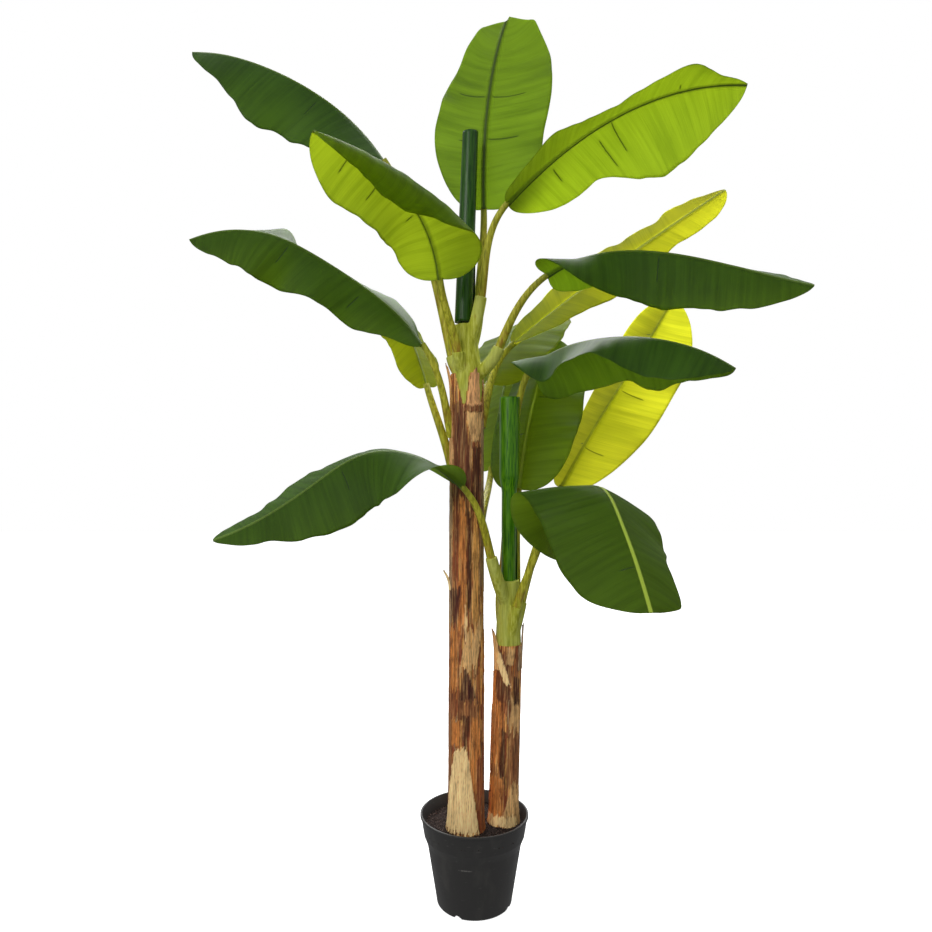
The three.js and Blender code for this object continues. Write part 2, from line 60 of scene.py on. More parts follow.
# The leaves. A stalk comes out of its sheath at from, or out of the bark at a side and level, and
# ends at base, where the midrib begins. Azimuth is the way the midrib heads (0 right, 90 back),
# turned by sweep or swing, and climb its slope. Left and right say how far each half hangs from the
# midrib, reach how wide it is, shift how far it is drawn ahead and curl how much its edge bends on.
# Lists run from the blade's foot to its tip in even steps. A leaf with a high tone is brighter: its tone
# is painted light, set leaf by leaf for how strongly each leaf is lit from behind.
leaves = [
    {"name": "upper_left", "stem": "tall", "from": (-46, -6, 1108), "base": (-185, 30, 1520),
     "azimuth": 180, "climb": (56, 45, 34, 25, 15, 0), "length": 478, "width": 215, "blunt": 1.9,
     "left": (50, 60, 78, 70, 64, 50), "right": (0, -8, -14, -17, -20, -16),
     "reachLeft": (1, 1.04, 1.13, 1.24, 1.14, 1.1), "tone": -0.35},
    {"name": "near_left", "stem": "tall", "from": (-33, -46, 1111), "base": (-67, -90, 1242),
     "azimuth": 245, "sweep": -20, "climb": (76, 22, 4), "length": 392, "width": 205,
     "left": (5, 0, 0, 10, 15), "right": (25, 50, 62, 50, 30),
     "reachLeft": (1.3, 1.4, 1.22, 1.05, 1), "reachRight": (0.9, 0.84, 0.86, 1.02, 1.0),
     "curlLeft": (0, 40, 150, 155, 70), "tone": 0.42},
    {"name": "top", "stem": "tall", "from": (8, 10, 1214), "base": (20, 30, 1418),
     "azimuth": 40, "climb": (92, 82, 68), "length": 424, "width": 245, "roll": -130, "blunt": 3.4,
     "left": (0, 0, 0), "right": (-15, -25, -30),
     "reachLeft": (1, 1, 1, 1, 1, 1.04, 1.06, 1.04, 1.0, 0.76, 0.9),
     "reachRight": (0.75, 0.78, 0.82, 0.89, 0.92, 0.88, 0.83, 0.72, 0.7, 0.7, 0.9),
     "shiftLeft": (0, 0, 0, 0, 2, 4, 8, 16, 30, 54, 14),
     "shiftRight": (0, 0, 0, 2, 4, 8, 10, 12, 14, 22, 0), "tone": 0.1},
    {"name": "upper_right", "stem": "tall", "from": (13, -36, 1222), "base": (64, -40, 1406),
     "azimuth": -12, "climb": (45, 25, -10), "length": 510, "width": 230, "widest": 0.55,
     "left": (15, 54, 58), "right": (-10, 0, -10),
     "reachLeft": (1, 1.02, 0.95, 0.85, 0.88, 1.07, 1.15, 1.2, 1.18, 1.07, 1),
     "reachRight": (1, 0.93, 0.9, 0.88, 0.7, 0.59, 0.52, 0.6, 1.06, 0.55, 0.3), "tone": 0.28},
    {"name": "mid_left", "stem": "tall", "side": 190, "level": 955, "base": (-100, -60, 1122),
     "azimuth": 182, "climb": (56, 40, 33, 26, 2, -22), "length": 532, "width": 230,
     "left": (36, 66, 76, 66, 76, 58, 66, 60), "right": (0, -18, -22, -14, 0, 10, 2, -26, -14, 0, -5),
     "reachLeft": (0.8, 0.68, 0.68, 0.73, 0.72, 0.82, 0.86, 1, 1, 0.97, 0.9), "tone": 0.12},
    {"name": "back_left", "stem": "tall", "side": 165, "level": 890, "base": (-98, 20, 1051),
     "azimuth": 113, "climb": (55, 35, 20), "length": 490, "width": 172, "lobe": 0,
     "left": (60, 60, 40), "right": (20, 30, 30), "reachLeft": (0.8, 0.75, 0.9),
     "reachRight": (0.92, 0.94, 1), "tone": 0.82},
    {"name": "mid_right", "stem": "tall", "from": (49, -30, 1122), "base": (140, -60, 1258),
     "azimuth": -20, "climb": (30, 2, -14, -20, -18), "length": 500, "width": 228, "lobe": 0.5,
     "left": (40, 14, 5, -15, -24), "right": (-40, 60, 78, 74, 60),
     "reachLeft": (0.85, 0.9, 1, 1, 1),
     "reachRight": (1, 0.92, 0.86, 0.87, 0.93, 0.9, 0.78, 0.7), "tone": 0.08},
    {"name": "far_right", "stem": "tall", "side": 20, "level": 975, "base": (85, 75, 1148),
     "azimuth": -5, "climb": (40, 35, 33), "length": 542, "width": 225,
     "left": (-30, -45, -40), "right": (5, 46, 55), "reachLeft": (1, 0.9, 0.75, 0.6, 0.7),
     "reachRight": (1, 0.85, 0.78, 0.7, 0.6, 0.58, 0.75), "tone": 1.0},
    {"name": "back_right", "stem": "tall", "side": 65, "level": 985, "base": (30, 60, 1060),
     "azimuth": 62, "climb": (50, 30, 10), "length": 450, "width": 200,
     "left": (0, 10, 10), "right": (10, 10, 10), "tone": 0.7},
    {"name": "low_back", "stem": "tall", "side": 35, "level": 765, "base": (40, 155, 880),
     "azimuth": 75, "climb": (65, 50, 35), "length": 400, "width": 190,
     "left": (40, 40, 30), "right": (10, 20, 20), "tone": 0.4},
    {"name": "bright", "stem": "short", "from": (98, 26, 604), "base": (188, 80, 840),
     "azimuth": 20, "climb": (60, 55, 58), "length": 512, "width": 220, "roll": -120, "lobe": 0.1,
     "left": (-8, -8, -8), "right": (-64, -64, -34), "reachLeft": (0.78, 0.9, 1, 1.03, 1.14, 1.1),
     "reachRight": (1, 1, 1, 1, 1.15), "tone": 1.0},
    {"name": "short_right", "stem": "short", "from": (58, 44, 625), "base": (118, 14, 1087),
     "azimuth": -35, "climb": (36, 9, -6, -20, -36), "length": 437, "width": 228, "lobe": 0.7,
     "headHandle": 0.14, "left": (60, 42, 42, 47, 44, 30), "right": (-40, 38, 26, 16, 44, 38, 36),
     "reachLeft": (1.25, 1.1, 1, 1, 0.95, 0.9), "tone": -0.18},
    {"name": "short_back", "stem": "short", "from": (88, 42, 632), "base": (94, 50, 835),
     "azimuth": 65, "climb": (75, 55, 40), "length": 440, "width": 220,
     "left": (10, 20, 20), "right": (0, 10, 20), "rib": 0.7, "tone": 0.25},
    {"name": "short_front", "stem": "short", "from": (85, -12, 601), "base": (132, -40, 736),
     "azimuth": -38, "swing": (13, -14, -43, -43, -41), "climb": (70, 28, -27, -43, -54), "length": 512,
     "width": 235, "lobe": 0.1, "blunt": 3.2,
     "left": (15, 20, 24, 30, 20, 10), "right": (50, 10, 0, 10, 18, 12),
     "reachLeft": (1, 1, 1, 1, 0.93, 1.0, 1.04, 0.91, 0.74, 0.9, 1.2),
     "shiftLeft": (0, 0, 0, 0, 0, 0, 0, 0, 0, 24, 0), "reachRight": (1.3, 1.3, 1.25, 1.15, 1.15, 1.1),
     "shiftRight": (-20, -28, -35, -38, -40, -31, -20, -9, 0, 9, 0), "rib": 1.0, "tone": 0.2},
    {"name": "short_left", "stem": "short", "from": (33, -36, 703), "base": (-23, -72, 844),
     "azimuth": 190, "climb": (46, 12, -33, -33, -20), "length": 532, "width": 230,
     "lobe": -0.2, "blunt": 1.6, "left": (-30, 35, 56, 56, 50), "right": (0, -3, -12, -18, -22),
     "reachLeft": (1, 1, 1.05, 1.0, 0.85, 0.5), "tone": 0.05},
]


# Helpers

def lerp(start, end, t):
    return start + (end - start) * t


def addObject(name, data):
    piece = bpy.data.objects.new(name, data)
    bpy.context.scene.collection.objects.link(piece)
    return piece


# points in millimetres
def addPiece(name, points, faces, materials=(), slots=None, uvs=None, smooth=True, edges=()):
    mesh = bpy.data.meshes.new(name)
    mesh.from_pydata([tuple(c * mm for c in p) for p in points], edges, faces)
    for material in materials:
        mesh.materials.append(material)
    if slots:
        mesh.polygons.foreach_set("material_index", slots)
    if uvs:
        layer = mesh.uv_layers.new(name="map")
        flat = [value for loop in mesh.loops for value in uvs[loop.vertex_index]]
        layer.data.foreach_set("uv", flat)
    if smooth and faces:
        mesh.polygons.foreach_set("use_smooth", [True] * len(mesh.polygons))
    mesh.update()
    return addObject(name, mesh)


# faces between rows of points that follow each other, from point start on
def gridFaces(rows, columns, around=False, start=0):
    width = columns if around else columns + 1
    faces = []
    for row in range(start, start + rows * width, width):
        for i in range(columns):
            j = (i + 1) % width
            faces.append((row + i, row + j, row + width + j, row + width + i))
    return faces


# numbers for each corner point, read by a material or a tree
def addValues(piece, name, values, kind="FLOAT"):
    layer = piece.data.attributes.new(name, kind, "POINT")
    layer.data.foreach_set("value" if kind == "FLOAT" else "vector", values)


def addColors(piece, colors):
    layer = piece.data.color_attributes.new("barkColor", "FLOAT_COLOR", "POINT")
    layer.data.foreach_set("color", colors)


# turns what the modifiers give into a plain mesh
def settle(piece):
    graph = bpy.context.evaluated_depsgraph_get()
    mesh = bpy.data.meshes.new_from_object(piece.evaluated_get(graph), depsgraph=graph)
    piece.modifiers.clear()
    old = piece.data
    piece.data = mesh
    bpy.data.meshes.remove(old)
    mesh.name = piece.name


# gives a sheet its thickness, inwards
def thicken(piece, thick):
    solidify = piece.modifiers.new("thickness", "SOLIDIFY")
    solidify.thickness = thick * mm
    solidify.offset = -1
    settle(piece)


def place(piece, slot, *nodes):
    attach(piece, "root")
    if nodes:
        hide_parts(*nodes)


def blend(low, high, value):
    value = min(1.0, max(0.0, (value - low) / (high - low)))
    return value * value * (3 - 2 * value)


# a smooth run through values that are spaced evenly from the start to the tip
def along(values, t):
    if len(values) == 3:
        start, middle, tip = values
        return start + (4 * middle - 3 * start - tip) * t + (2 * start - 4 * middle + 2 * tip) * t * t
    spot = min(t, 0.99999) * (len(values) - 1)
    k = int(spot)
    f = spot - k
    before, first, last = values[max(k - 1, 0)], values[k], values[k + 1]
    after = values[min(k + 2, len(values) - 1)]
    bend = 2 * before - 5 * first + 4 * last - after
    twist = 3 * first - before - 3 * last + after
    return first + 0.5 * f * (last - before + f * (bend + f * twist))


# a colour as a picture editor gives it, 0 to 255
def srgb(*color):
    return tuple(c / 255 / 12.92 if c / 255 <= 0.04 else ((c / 255 + 0.055) / 1.055) ** 2.4 for c in color)


# Nodes

# a value in a node tree, to reckon with as with a number; value[name] is its node's other output
class Value:
    def __init__(self, owner, socket):
        self.owner = owner
        self.socket = socket

    def __getitem__(self, name):
        return Value(self.owner, self.socket.node.outputs[name])

    def __add__(self, other):
        return self.owner.math("ADD", self, other)

    def __sub__(self, other):
        return self.owner.math("SUBTRACT", self, other)

    def __rsub__(self, other):
        return self.owner.math("SUBTRACT", other, self)

    def __mul__(self, other):
        return self.owner.math("MULTIPLY", self, other)

    def __abs__(self):
        return self.owner.math("ABSOLUTE", self)


# a node tree and short ways to add its nodes
class Nodes:
    def __init__(self, tree):
        self.tree = tree

    def feed(self, socket, value):
        if isinstance(value, Value):
            self.tree.links.new(value.socket, socket)
        elif value is not None:
            socket.default_value = (*value, 1) if socket.type == "RGBA" else value

    # sources go to the usable inputs in their order; a capital name is an input, a small one a setting
    def add(self, kind, *sources, **named):
        node = self.tree.nodes.new(kind)
        for name, value in named.items():
            if name[0].islower():
                setattr(node, name, value)
        usable = [socket for socket in node.inputs if socket.enabled]
        for socket, source in zip(usable, sources):
            self.feed(socket, source)
        for name, value in named.items():
            if name[0].isupper():
                self.feed(node.inputs[name.replace("_", " ")], value)
        return Value(self, next((socket for socket in node.outputs if socket.enabled), None))

    def math(self, operation, *sources, **settings):
        return self.add("ShaderNodeMath", *sources, operation=operation, **settings)

    def split(self, vector):
        parts = self.add("ShaderNodeSeparateXYZ", vector)
        return parts[0], parts[1], parts[2]

    def join(self, *parts):
        return self.add("ShaderNodeCombineXYZ", *parts)


# a material
class Paint(Nodes):
    def __init__(self, name):
        self.material = bpy.data.materials.new(name)
        self.material.use_nodes = True
        super().__init__(self.material.node_tree)
        self.shader = self.tree.nodes["Principled BSDF"]
        self.place = self.coordinates("Object")

    def coordinates(self, kind):
        return self.add("ShaderNodeTexCoord")[kind]

    def attribute(self, name, kind="Fac"):
        return self.add("ShaderNodeAttribute", attribute_name=name)[kind]

    def noise(self, vector, scale, detail=3.0, roughness=0.5, distortion=0.0):
        return self.add("ShaderNodeTexNoise", vector, scale, detail, roughness, None, distortion)

    # noise over the piece, drawn out upwards where rise is small
    def grain(self, rise, *levels):
        return self.noise(self.stretch(self.place, (1, 1, rise)), *levels)

    def stretch(self, vector, scale):
        return self.add("ShaderNodeMapping", vector, None, None, scale)

    def between(self, value, low, high, first=0.0, last=1.0):
        return self.add("ShaderNodeMapRange", value, low, high, first, last, interpolation_type="SMOOTHSTEP")

    def mix(self, factor, first, second, kind="MIX"):
        return self.add("ShaderNodeMix", factor, first, second, data_type="RGBA", blend_type=kind)

    def ramp(self, value, *stops):
        ramp = self.add("ShaderNodeValToRGB", value)
        elements = ramp.socket.node.color_ramp.elements
        while len(elements) < len(stops):
            elements.new(0.5)
        for element, (position, color) in zip(elements, stops):
            element.position = position
            element.color = (*color, 1)
        return ramp

    def bump(self, height, strength, distance):
        normal = self.add("ShaderNodeBump", Height=height, Strength=strength, Distance=distance)
        self.feed(self.shader.inputs["Normal"], normal)
        return normal

    def finish(self, color, roughness, **levels):
        for name, value in (("Base_Color", color), ("Roughness", roughness), *levels.items()):
            self.feed(self.shader.inputs[name.replace("_", " ")], value)
        return self.material


# a geometry tree
class Tree(Nodes):
    def __init__(self, name):
        super().__init__(bpy.data.node_groups.new(name, "GeometryNodeTree"))
        for way in ("INPUT", "OUTPUT"):
            self.tree.interface.new_socket(name="Geometry", in_out=way, socket_type="NodeSocketGeometry")
        self.geometry = self.add("NodeGroupInput")
        self.identifiers = {}

    def size(self, name, kind="Float"):
        socket = self.tree.interface.new_socket(name=name, in_out="INPUT", socket_type="NodeSocket" + kind)
        self.identifiers[name] = socket.identifier
        return self.geometry[name]

    def vector(self, operation, *sources):
        return self.add("ShaderNodeVectorMath", *sources, operation=operation)

    def position(self):
        return self.add("GeometryNodeInputPosition")

    def named(self, name, kind="FLOAT"):
        return self.add("GeometryNodeInputNamedAttribute", name, data_type=kind)

    def random(self, low, high, seed, kind="FLOAT"):
        return self.add("FunctionNodeRandomValue", low, high, None, seed, data_type=kind)

    def finish(self, geometry):
        geometry = self.add("GeometryNodeRealizeInstances", geometry)
        geometry = self.add("GeometryNodeSetShadeSmooth", geometry, None, True)
        geometry = self.add("GeometryNodeSetMaterial", geometry, None, self.size("Material", "Material"))
        self.add("NodeGroupOutput", geometry)
        return self

    def use(self, piece, **values):
        modifier = piece.modifiers.new(self.tree.name, "NODES")
        modifier.node_group = self.tree
        for name, value in values.items():
            modifier[self.identifiers[name.replace("_", " ")]] = value
        settle(piece)


# Creases in the blades, painted as dark lines of shade: share of the length, then where they start
# and end in mm, left of the midrib being minus
creaseCount = 4
creases = {
    "top": ((0.57, 5, 72), (0.57, -4, -78), (0.35, -3, -72), (0.34, 14, 60)),
    "near_left": ((0.60, 3, 62), (0.80, 4, 46), (0.35, 10, 34)),
    "upper_right": ((0.42, -22, -92), (0.49, -2, -72), (0.76, 4, 26), (0.22, -14, -52)),
    "bright": ((0.50, -5, -62), (0.20, -1, -50), (0.22, 2, 30), (0.80, 2, 22)),
    "short_back": ((0.30, -4, -42), (0.52, 6, 44)),
    "short_left": ((0.50, -12, -62),),
    "short_front": ((0.84, 2, 32), (0.45, -8, -50)),
    "mid_left": ((0.62, -10, -58), (0.30, -20, -60)),
    "mid_right": ((0.45, 8, 60),),
    "upper_left": ((0.40, -15, -60),),
}

# Leaf finish

leafLook = {
    "upperDark": (0.016, 0.052, 0.005), "upperLight": (0.042, 0.112, 0.010),
    "underDark": (0.062, 0.125, 0.014), "underLight": (0.13, 0.23, 0.022),
    # the underside's midrib colour is dark as painted shade: the thick rib lets no light through
    "upperRib": (0.42, 0.56, 0.06), "underRib": (0.055, 0.092, 0.014),
    "glowGreen": (0.50, 0.68, 0.09), "glowYellow": (1.0, 1.0, 0.18), "glowDark": (0.16, 0.27, 0.01),
    "glowLeast": 0.46, "glowMost": 0.93, "veinSlope": 0.28, "creaseColor": (0.02, 0.04, 0.008),
}


def leafPaint(name, face):
    look = leafLook
    paint = Paint(name)
    upper = face == "upper"
    u, v = paint.split(paint.coordinates("UV"))[:2]
    across = u - 0.5
    out = abs(across)
    vein = v - out * look["veinSlope"]
    number = paint.attribute("leafNumber")

    def streak(alongVein, acrossVein, detail):
        return paint.noise(paint.join(vein * acrossVein, across * alongVein, number), 1.0, detail)

    fine = streak(9.0, 620.0, 1.0)
    broad = streak(5.0, 95.0, 2.0)
    cloud = paint.noise(paint.place, 6.0)
    mixed = broad * 0.4 + fine * 0.25 + cloud * 0.35
    color = paint.mix(paint.between(mixed, 0.34, 0.66), look[face + "Dark"], look[face + "Light"])

    # side veins pressed into creases, painted dark as shade in the fold and letting less light through: each
    # leaf carries their places
    bent = v + (cloud - 0.5) * 0.012 - out * (out * 2.2)
    line = None
    for k in range(creaseCount):
        spot, start, end = paint.split(paint.attribute(f"crease{k}", "Vector"))
        one = paint.between(abs(bent - spot), 0.0004, 0.0020, 1.0, 0.0)
        past = abs(across - (start + end) * 0.5) - abs((end - start) * 0.5)
        one = one * paint.between(past, -0.008, 0.001, 1.0, 0.0)
        line = one if line is None else paint.math("MAXIMUM", line, one)
    color = paint.mix(line * 0.7, color, look["creaseColor"])

    # painted light: the tone, set leaf by leaf for how strongly each leaf is lit from behind, pales the
    # underside's midrib and sets how much light comes through
    tone = paint.attribute("leafBacklightTone")
    ribShade = paint.math("MULTIPLY_ADD", tone, -0.55, 1.0, use_clamp=True)  # bright leaves have paler midribs
    # the midrib: its own light colour on the upper side; on the underside dark, as painted shade of the thick
    # rib that lets no light through
    rib = paint.between(out, 0.0024 if upper else 0.0012, 0.0044 if upper else 0.0034, 1.0, 0.0)
    color = paint.mix(rib * (paint.attribute("ribTone") if upper else ribShade), color, look[face + "Rib"])
    rib = rib * ribShade
    normal = paint.bump(fine * 0.35 + broad - line * 0.7, 0.4 if upper else 0.35, 0.0014)
    paint.finish(color, 0.55, Specular_IOR_Level=0.2)

    # light that comes through the blade; a higher tone, painted light set leaf by leaf, lets more through and
    # yellows it
    glow = paint.mix(tone, look["glowGreen"], look["glowYellow"])
    glow = paint.mix(paint.between(mixed, 0.36, 0.62, 0.22, 0.0), glow, look["glowDark"])
    # less light comes through the midrib and, as painted shade, along the creases
    stop = paint.math("MAXIMUM", rib * 0.92, line * 0.6)
    part = paint.math("MULTIPLY_ADD", tone, look["glowMost"] - look["glowLeast"], look["glowLeast"])
    both = paint.add("ShaderNodeMixShader", (1.0 - stop) * part, Value(paint, paint.shader.outputs[0]),
                     paint.add("ShaderNodeBsdfTranslucent", glow, normal))
    paint.feed(paint.tree.nodes["Material Output"].inputs["Surface"], both)
    return paint.material


leafPaints = [leafPaint("leaf upper side", "upper"), leafPaint("leaf underside", "under")]

# Leaf blades

blade = {
    "rows": 130, "columns": 17, "thick": 0.8, "ribColumns": 3, "ribReach": 6.0, "ribShare": 0.8,
    "ribDepth": 7.0, "ribTaper": 0.8, "ribHalf": 7, "tipHalf": 3, "ribTone": 0.15, "groove": 1.4,
    "droop": 12, "bends": 6, "offBark": 4,
    "wave": 5.5, "waveCount": 2.5, "waveTurn": {"left": 0.15, "right": 0.6},
    "pleat": 2.6, "pleatLength": 24, "pleatWidth": 160, "edgeRipple": 7.0, "edgeLength": 45,
}
outline = {"widest": 0.45, "foot": (2.5, 0.48), "tip": (2.3, 0.55), "lobe": 0.2, "lobeFade": 4}
plain = (0, 0, 0)


def azimuthAt(leaf, t):
    return (leaf["azimuth"] + leaf.get("sweep", 0) * t + along(leaf.get("swing", plain), t)) * degree


def heading(leaf, t):
    azimuth = azimuthAt(leaf, t)
    slope = along(leaf["climb"], t) * degree
    return Vector((math.cos(slope) * math.cos(azimuth), math.cos(slope) * math.sin(azimuth), math.sin(slope)))


# places along the midrib, fine enough to read between
def midrib(leaf, steps=240):
    spots = [Vector(leaf["base"])]
    for i in range(steps):
        spots.append(spots[-1] + heading(leaf, (i + 0.5) / steps) * leaf["length"] / steps)
    return spots


# the midrib's place at t, with the ways along it, to its left and up off the blade
def station(leaf, spots, t):
    at = min(t * (len(spots) - 1), len(spots) - 1.001)
    spot = spots[int(at)].lerp(spots[int(at) + 1], at % 1)
    ahead = heading(leaf, t)
    azimuth = azimuthAt(leaf, t)
    flat = Vector((-math.sin(azimuth), math.cos(azimuth), 0))
    rise = ahead.cross(flat)
    roll = leaf.get("roll", 0) * degree
    left = flat * math.cos(roll) + rise * math.sin(roll)
    return spot, ahead, left, rise * math.cos(roll) - flat * math.sin(roll)


def halfWidth(leaf, t, half):
    widest = leaf.get("widest", outline["widest"])
    if t < widest:
        share = (1 - (1 - t / widest) ** outline["foot"][0]) ** outline["foot"][1]
    else:
        blunt = leaf.get("blunt", outline["tip"][0])
        share = max(0.0, 1 - ((t - widest) / (1 - widest)) ** blunt) ** outline["tip"][1]
    share *= along(leaf.get("reach" + half.title(), (1, 1, 1)), t)
    return max(leaf["width"] / 2 * share, lerp(blade["ribHalf"], blade["tipHalf"], t))


def stemCentre(stem, z):
    t = (z - soilLevel) / (stem["top"] - soilLevel)
    return Vector((*(lerp(low, high, t) for low, high in zip(stem["foot"], stem["head"])), z))


def stemRadius(stem, z):
    rise = z - soilLevel
    flare = stem["flare"] * max(0, 1 - rise / stem["flareHeight"]) ** 2
    return lerp(stem["footRadius"], stem["headRadius"], rise / (stem["top"] - soilLevel)) + flare


# a blade that would cut into a stem lies against the bark instead
def clearOfBark(spot):
    for stem in stems.values():
        centre = stemCentre(stem, spot.z)
        out = spot - centre
        reach = stemRadius(stem, spot.z) + blade["offBark"]
        if spot.z < stem["top"] and out.length < reach:
            spot = centre + out.normalized() * reach
    return spot


def bladePoint(leaf, number, frameAt, t, side, wide, distance, offset):
    spot, ahead, left, up = frameAt
    half = "left" if side > 0 else "right"
    r = distance / wide
    fold = along(leaf[half], t)
    curl = along(leaf.get("curl" + half.title(), plain), t)

    def hangAt(share):
        return (fold + blade["droop"] * share + curl * share * share) * degree

    out = down = 0.0
    for k in range(blade["bends"]):
        hang = hangAt(r * (k + 0.5) / blade["bends"])
        out += math.cos(hang) * distance / blade["bends"]
        down += math.sin(hang) * distance / blade["bends"]
    ends = math.sqrt(max(0.0, math.sin(math.pi * t)))
    turn = blade["waveCount"] * t + blade["waveTurn"][half]
    lift = blade["wave"] * r * r * math.sin(2 * math.pi * turn) * ends
    run = t * leaf["length"] - leafLook["veinSlope"] * distance
    seed = number * 9.1 + side * 3.3
    pleat = noise.noise((run / blade["pleatLength"], seed, distance / blade["pleatWidth"]))
    lift += blade["pleat"] * pleat * min(1.0, r * 2.5) * ends
    lift += blade["edgeRipple"] * noise.noise((run / blade["edgeLength"], seed + 5, 0)) * r ** 3 * ends
    lobe = leaf.get("lobe", outline["lobe"]) * (wide - blade["ribHalf"] * r) * r * r
    back = lobe * (1 - t) ** outline["lobeFade"] - along(leaf.get("shift" + half.title(), plain), t) * r * r
    hang = hangAt(r) * min(1.0, distance / blade["ribReach"])
    point = spot + left * side * (out + offset * math.sin(hang))
    return clearOfBark(point + up * (lift - down + offset * math.cos(hang)) - ahead * back)


def makeBlade(leaf, number):
    spots = midrib(leaf)
    count, ribColumns = blade["rows"], blade["ribColumns"]
    half = ribColumns + blade["columns"]
    points, uvs, faces, slots = [], [], [], []
    for i in range(count + 1):
        u = i / count
        t = u - 0.5 * math.sin(2 * math.pi * u) / (2 * math.pi)
        frameAt = station(leaf, spots, t)
        for j in range(-half, half + 1):
            side = 1 if j < 0 else -1
            wide = halfWidth(leaf, t, "left" if side > 0 else "right")
            ribEdge = min(blade["ribReach"], wide * blade["ribShare"])
            distance = ribEdge * abs(j) / ribColumns
            if abs(j) > ribColumns:
                distance = ribEdge + (wide - ribEdge) * (abs(j) - ribColumns) / blade["columns"]
            bulge = max(0.0, 1 - (distance / ribEdge) ** 2)
            upper = blade["thick"] / 2 - blade["groove"] * bulge * (1 - t)
            under = -blade["thick"] / 2 - blade["ribDepth"] * (1 - blade["ribTaper"] * t) * math.sqrt(bulge)
            for offset in (upper, under):
                points.append(bladePoint(leaf, number, frameAt, t, side, wide, distance, offset))
                uvs.append((0.5 - side * distance * mm, t * leaf["length"] * mm))

    def corner(i, j, layer):
        return 2 * (i * (2 * half + 1) + j) + layer

    def rim(first, last, turn):
        faces.append([corner(*first, 0), corner(*last, 0), corner(*last, 1), corner(*first, 1)][::turn])
        slots.append(1)

    for i in range(count):
        for j in range(2 * half):
            ring = ((i, j), (i, j + 1), (i + 1, j + 1), (i + 1, j))
            faces.append([corner(*p, 0) for p in ring])
            faces.append([corner(*p, 1) for p in ring[::-1]])
            slots += [0, 1]
        for j, turn in ((0, 1), (2 * half, -1)):
            rim((i, j), (i + 1, j), turn)
    for i, turn in ((0, -1), (count, 1)):
        for j in range(2 * half):
            rim((i, j), (i, j + 1), turn)
    piece = addPiece("blade_" + leaf["name"], points, faces, leafPaints, slots, uvs)
    many = len(points)
    for name, value in (("leafBacklightTone", leaf["tone"]), ("leafNumber", number),
                        ("ribTone", leaf.get("rib", blade["ribTone"]))):
        addValues(piece, name, [float(value)] * many)
    marks = creases.get(leaf["name"], ())
    for k in range(creaseCount):
        t, start, end = marks[k] if k < len(marks) else (-1, 0, 0)
        addValues(piece, f"crease{k}", [t * leaf["length"] * mm, start * mm, end * mm] * many, "FLOAT_VECTOR")
    place(piece, "leaf", "leaf_" + leaf["name"])


for number, leaf in enumerate(leaves):
    makeBlade(leaf, number)
print("leaf blades made")

# Pot

pot = {
    "sides": 160, "height": 180, "rimRadius": 110,
    "collarRadius": 102.2, "collarHeight": 41, "shoulderHeight": 17, "sharp": 38,
    "bodyRadius": 95.3, "footRadius": 76.5, "footRound": 7, "wall": 2.4, "floor": 4, "lip": 2, "lipHeight": 5,
    "notches": 4, "notchWidth": 17, "notchDepth": 13, "notchHeight": 8, "notchZone": 15, "firstNotch": 243,
}


# places between two corners of a profile
def steps(first, last, count):
    return [tuple(lerp(a, b, k / count) for a, b in zip(first, last)) for k in range(1, count)]


def potProfile():
    top, rim, foot, body, collar = (pot[key] for key in ("height", "rimRadius", "footRadius", "bodyRadius",
                                                         "collarRadius"))
    wall, turn, floor = pot["wall"], pot["footRound"], pot["floor"]
    collarFoot = top - pot["collarHeight"]
    bodyTop = collarFoot - pot["shoulderHeight"]
    under, lip = rim - pot["lip"], top - pot["lipHeight"]
    inner = foot - pot["notchDepth"]
    profile = [(0, 0), (20, 0), (45, 0), (inner - 0.6, 0), (inner, 0)]
    for k in range(7):
        angle = k / 6 * 90 * degree
        profile.append((foot - turn + turn * math.sin(angle), turn - turn * math.cos(angle)))
    profile += steps((foot, turn), (body, bodyTop), 12)
    profile += [(body - 0.1, bodyTop - 1.5), (body + 0.4, bodyTop + 0.5), (collar - 1.2, collarFoot - 2.6),
                (collar - 0.2, collarFoot - 0.8), (collar + 0.05, collarFoot + 1)]
    profile += steps((collar, collarFoot), (under, lip), 6)
    profile += [(under - 0.3, lip - 0.8), (under, lip), (rim - 0.7, lip), (rim, lip + 0.7), (rim, top - 0.9),
                (rim - 0.9, top), (under - wall + 0.8, top), (under - wall, top - 0.8)]
    return profile + [(collar - wall, collarFoot + 1), (body - wall, bodyTop + 1),
                      (foot - wall, turn + floor), (foot - turn, floor), (0, floor)]


# turned shape, closed at both poles; rule moves a point
def lathe(profile, sides, rule):
    points = [(0, 0, profile[0][1])]
    for radius, z in profile[1:-1]:
        for i in range(sides):
            angle = 2 * math.pi * i / sides
            points.append(rule(radius * math.cos(angle), radius * math.sin(angle), z, angle, radius))
    points.append((0, 0, profile[-1][1]))
    faces = []
    top = 1 + (len(profile) - 3) * sides
    for i in range(sides):
        j = (i + 1) % sides
        faces.append((0, 1 + j, 1 + i))
        for row in range(1, top, sides):
            faces.append((row + i, row + j, row + sides + j, row + sides + i))
        faces.append((top + i, top + j, len(points) - 1))
    return points, faces


# lifts the foot's edge at the notches
def notched(x, y, z, angle, radius):
    if radius < pot["footRadius"] - pot["notchDepth"] - 0.3 or z > pot["notchZone"]:
        return x, y, z
    for i in range(pot["notches"]):
        off = (angle / degree - pot["firstNotch"] - 360 / pot["notches"] * i + 180) % 360 - 180
        share = abs(off) * degree * pot["footRadius"] / (pot["notchWidth"] / 2)
        if share < 1:
            lift = pot["notchHeight"] * math.sqrt(1 - share ** 2)
            outer = z < pot["floor"] or radius > pot["footRadius"] - 1
            return x, y, max(z, lift if outer else lift + pot["wall"])
    return x, y, z


plasticLook = {
    "clean": srgb(42, 41, 40), "dusty": srgb(58, 57, 54), "rubbed": srgb(92, 90, 88),
    "scuffed": srgb(132, 130, 126), "scuffPlace": (0.0185, 0.113, -0.107), "scuffScale": (50, 20, 380),
}


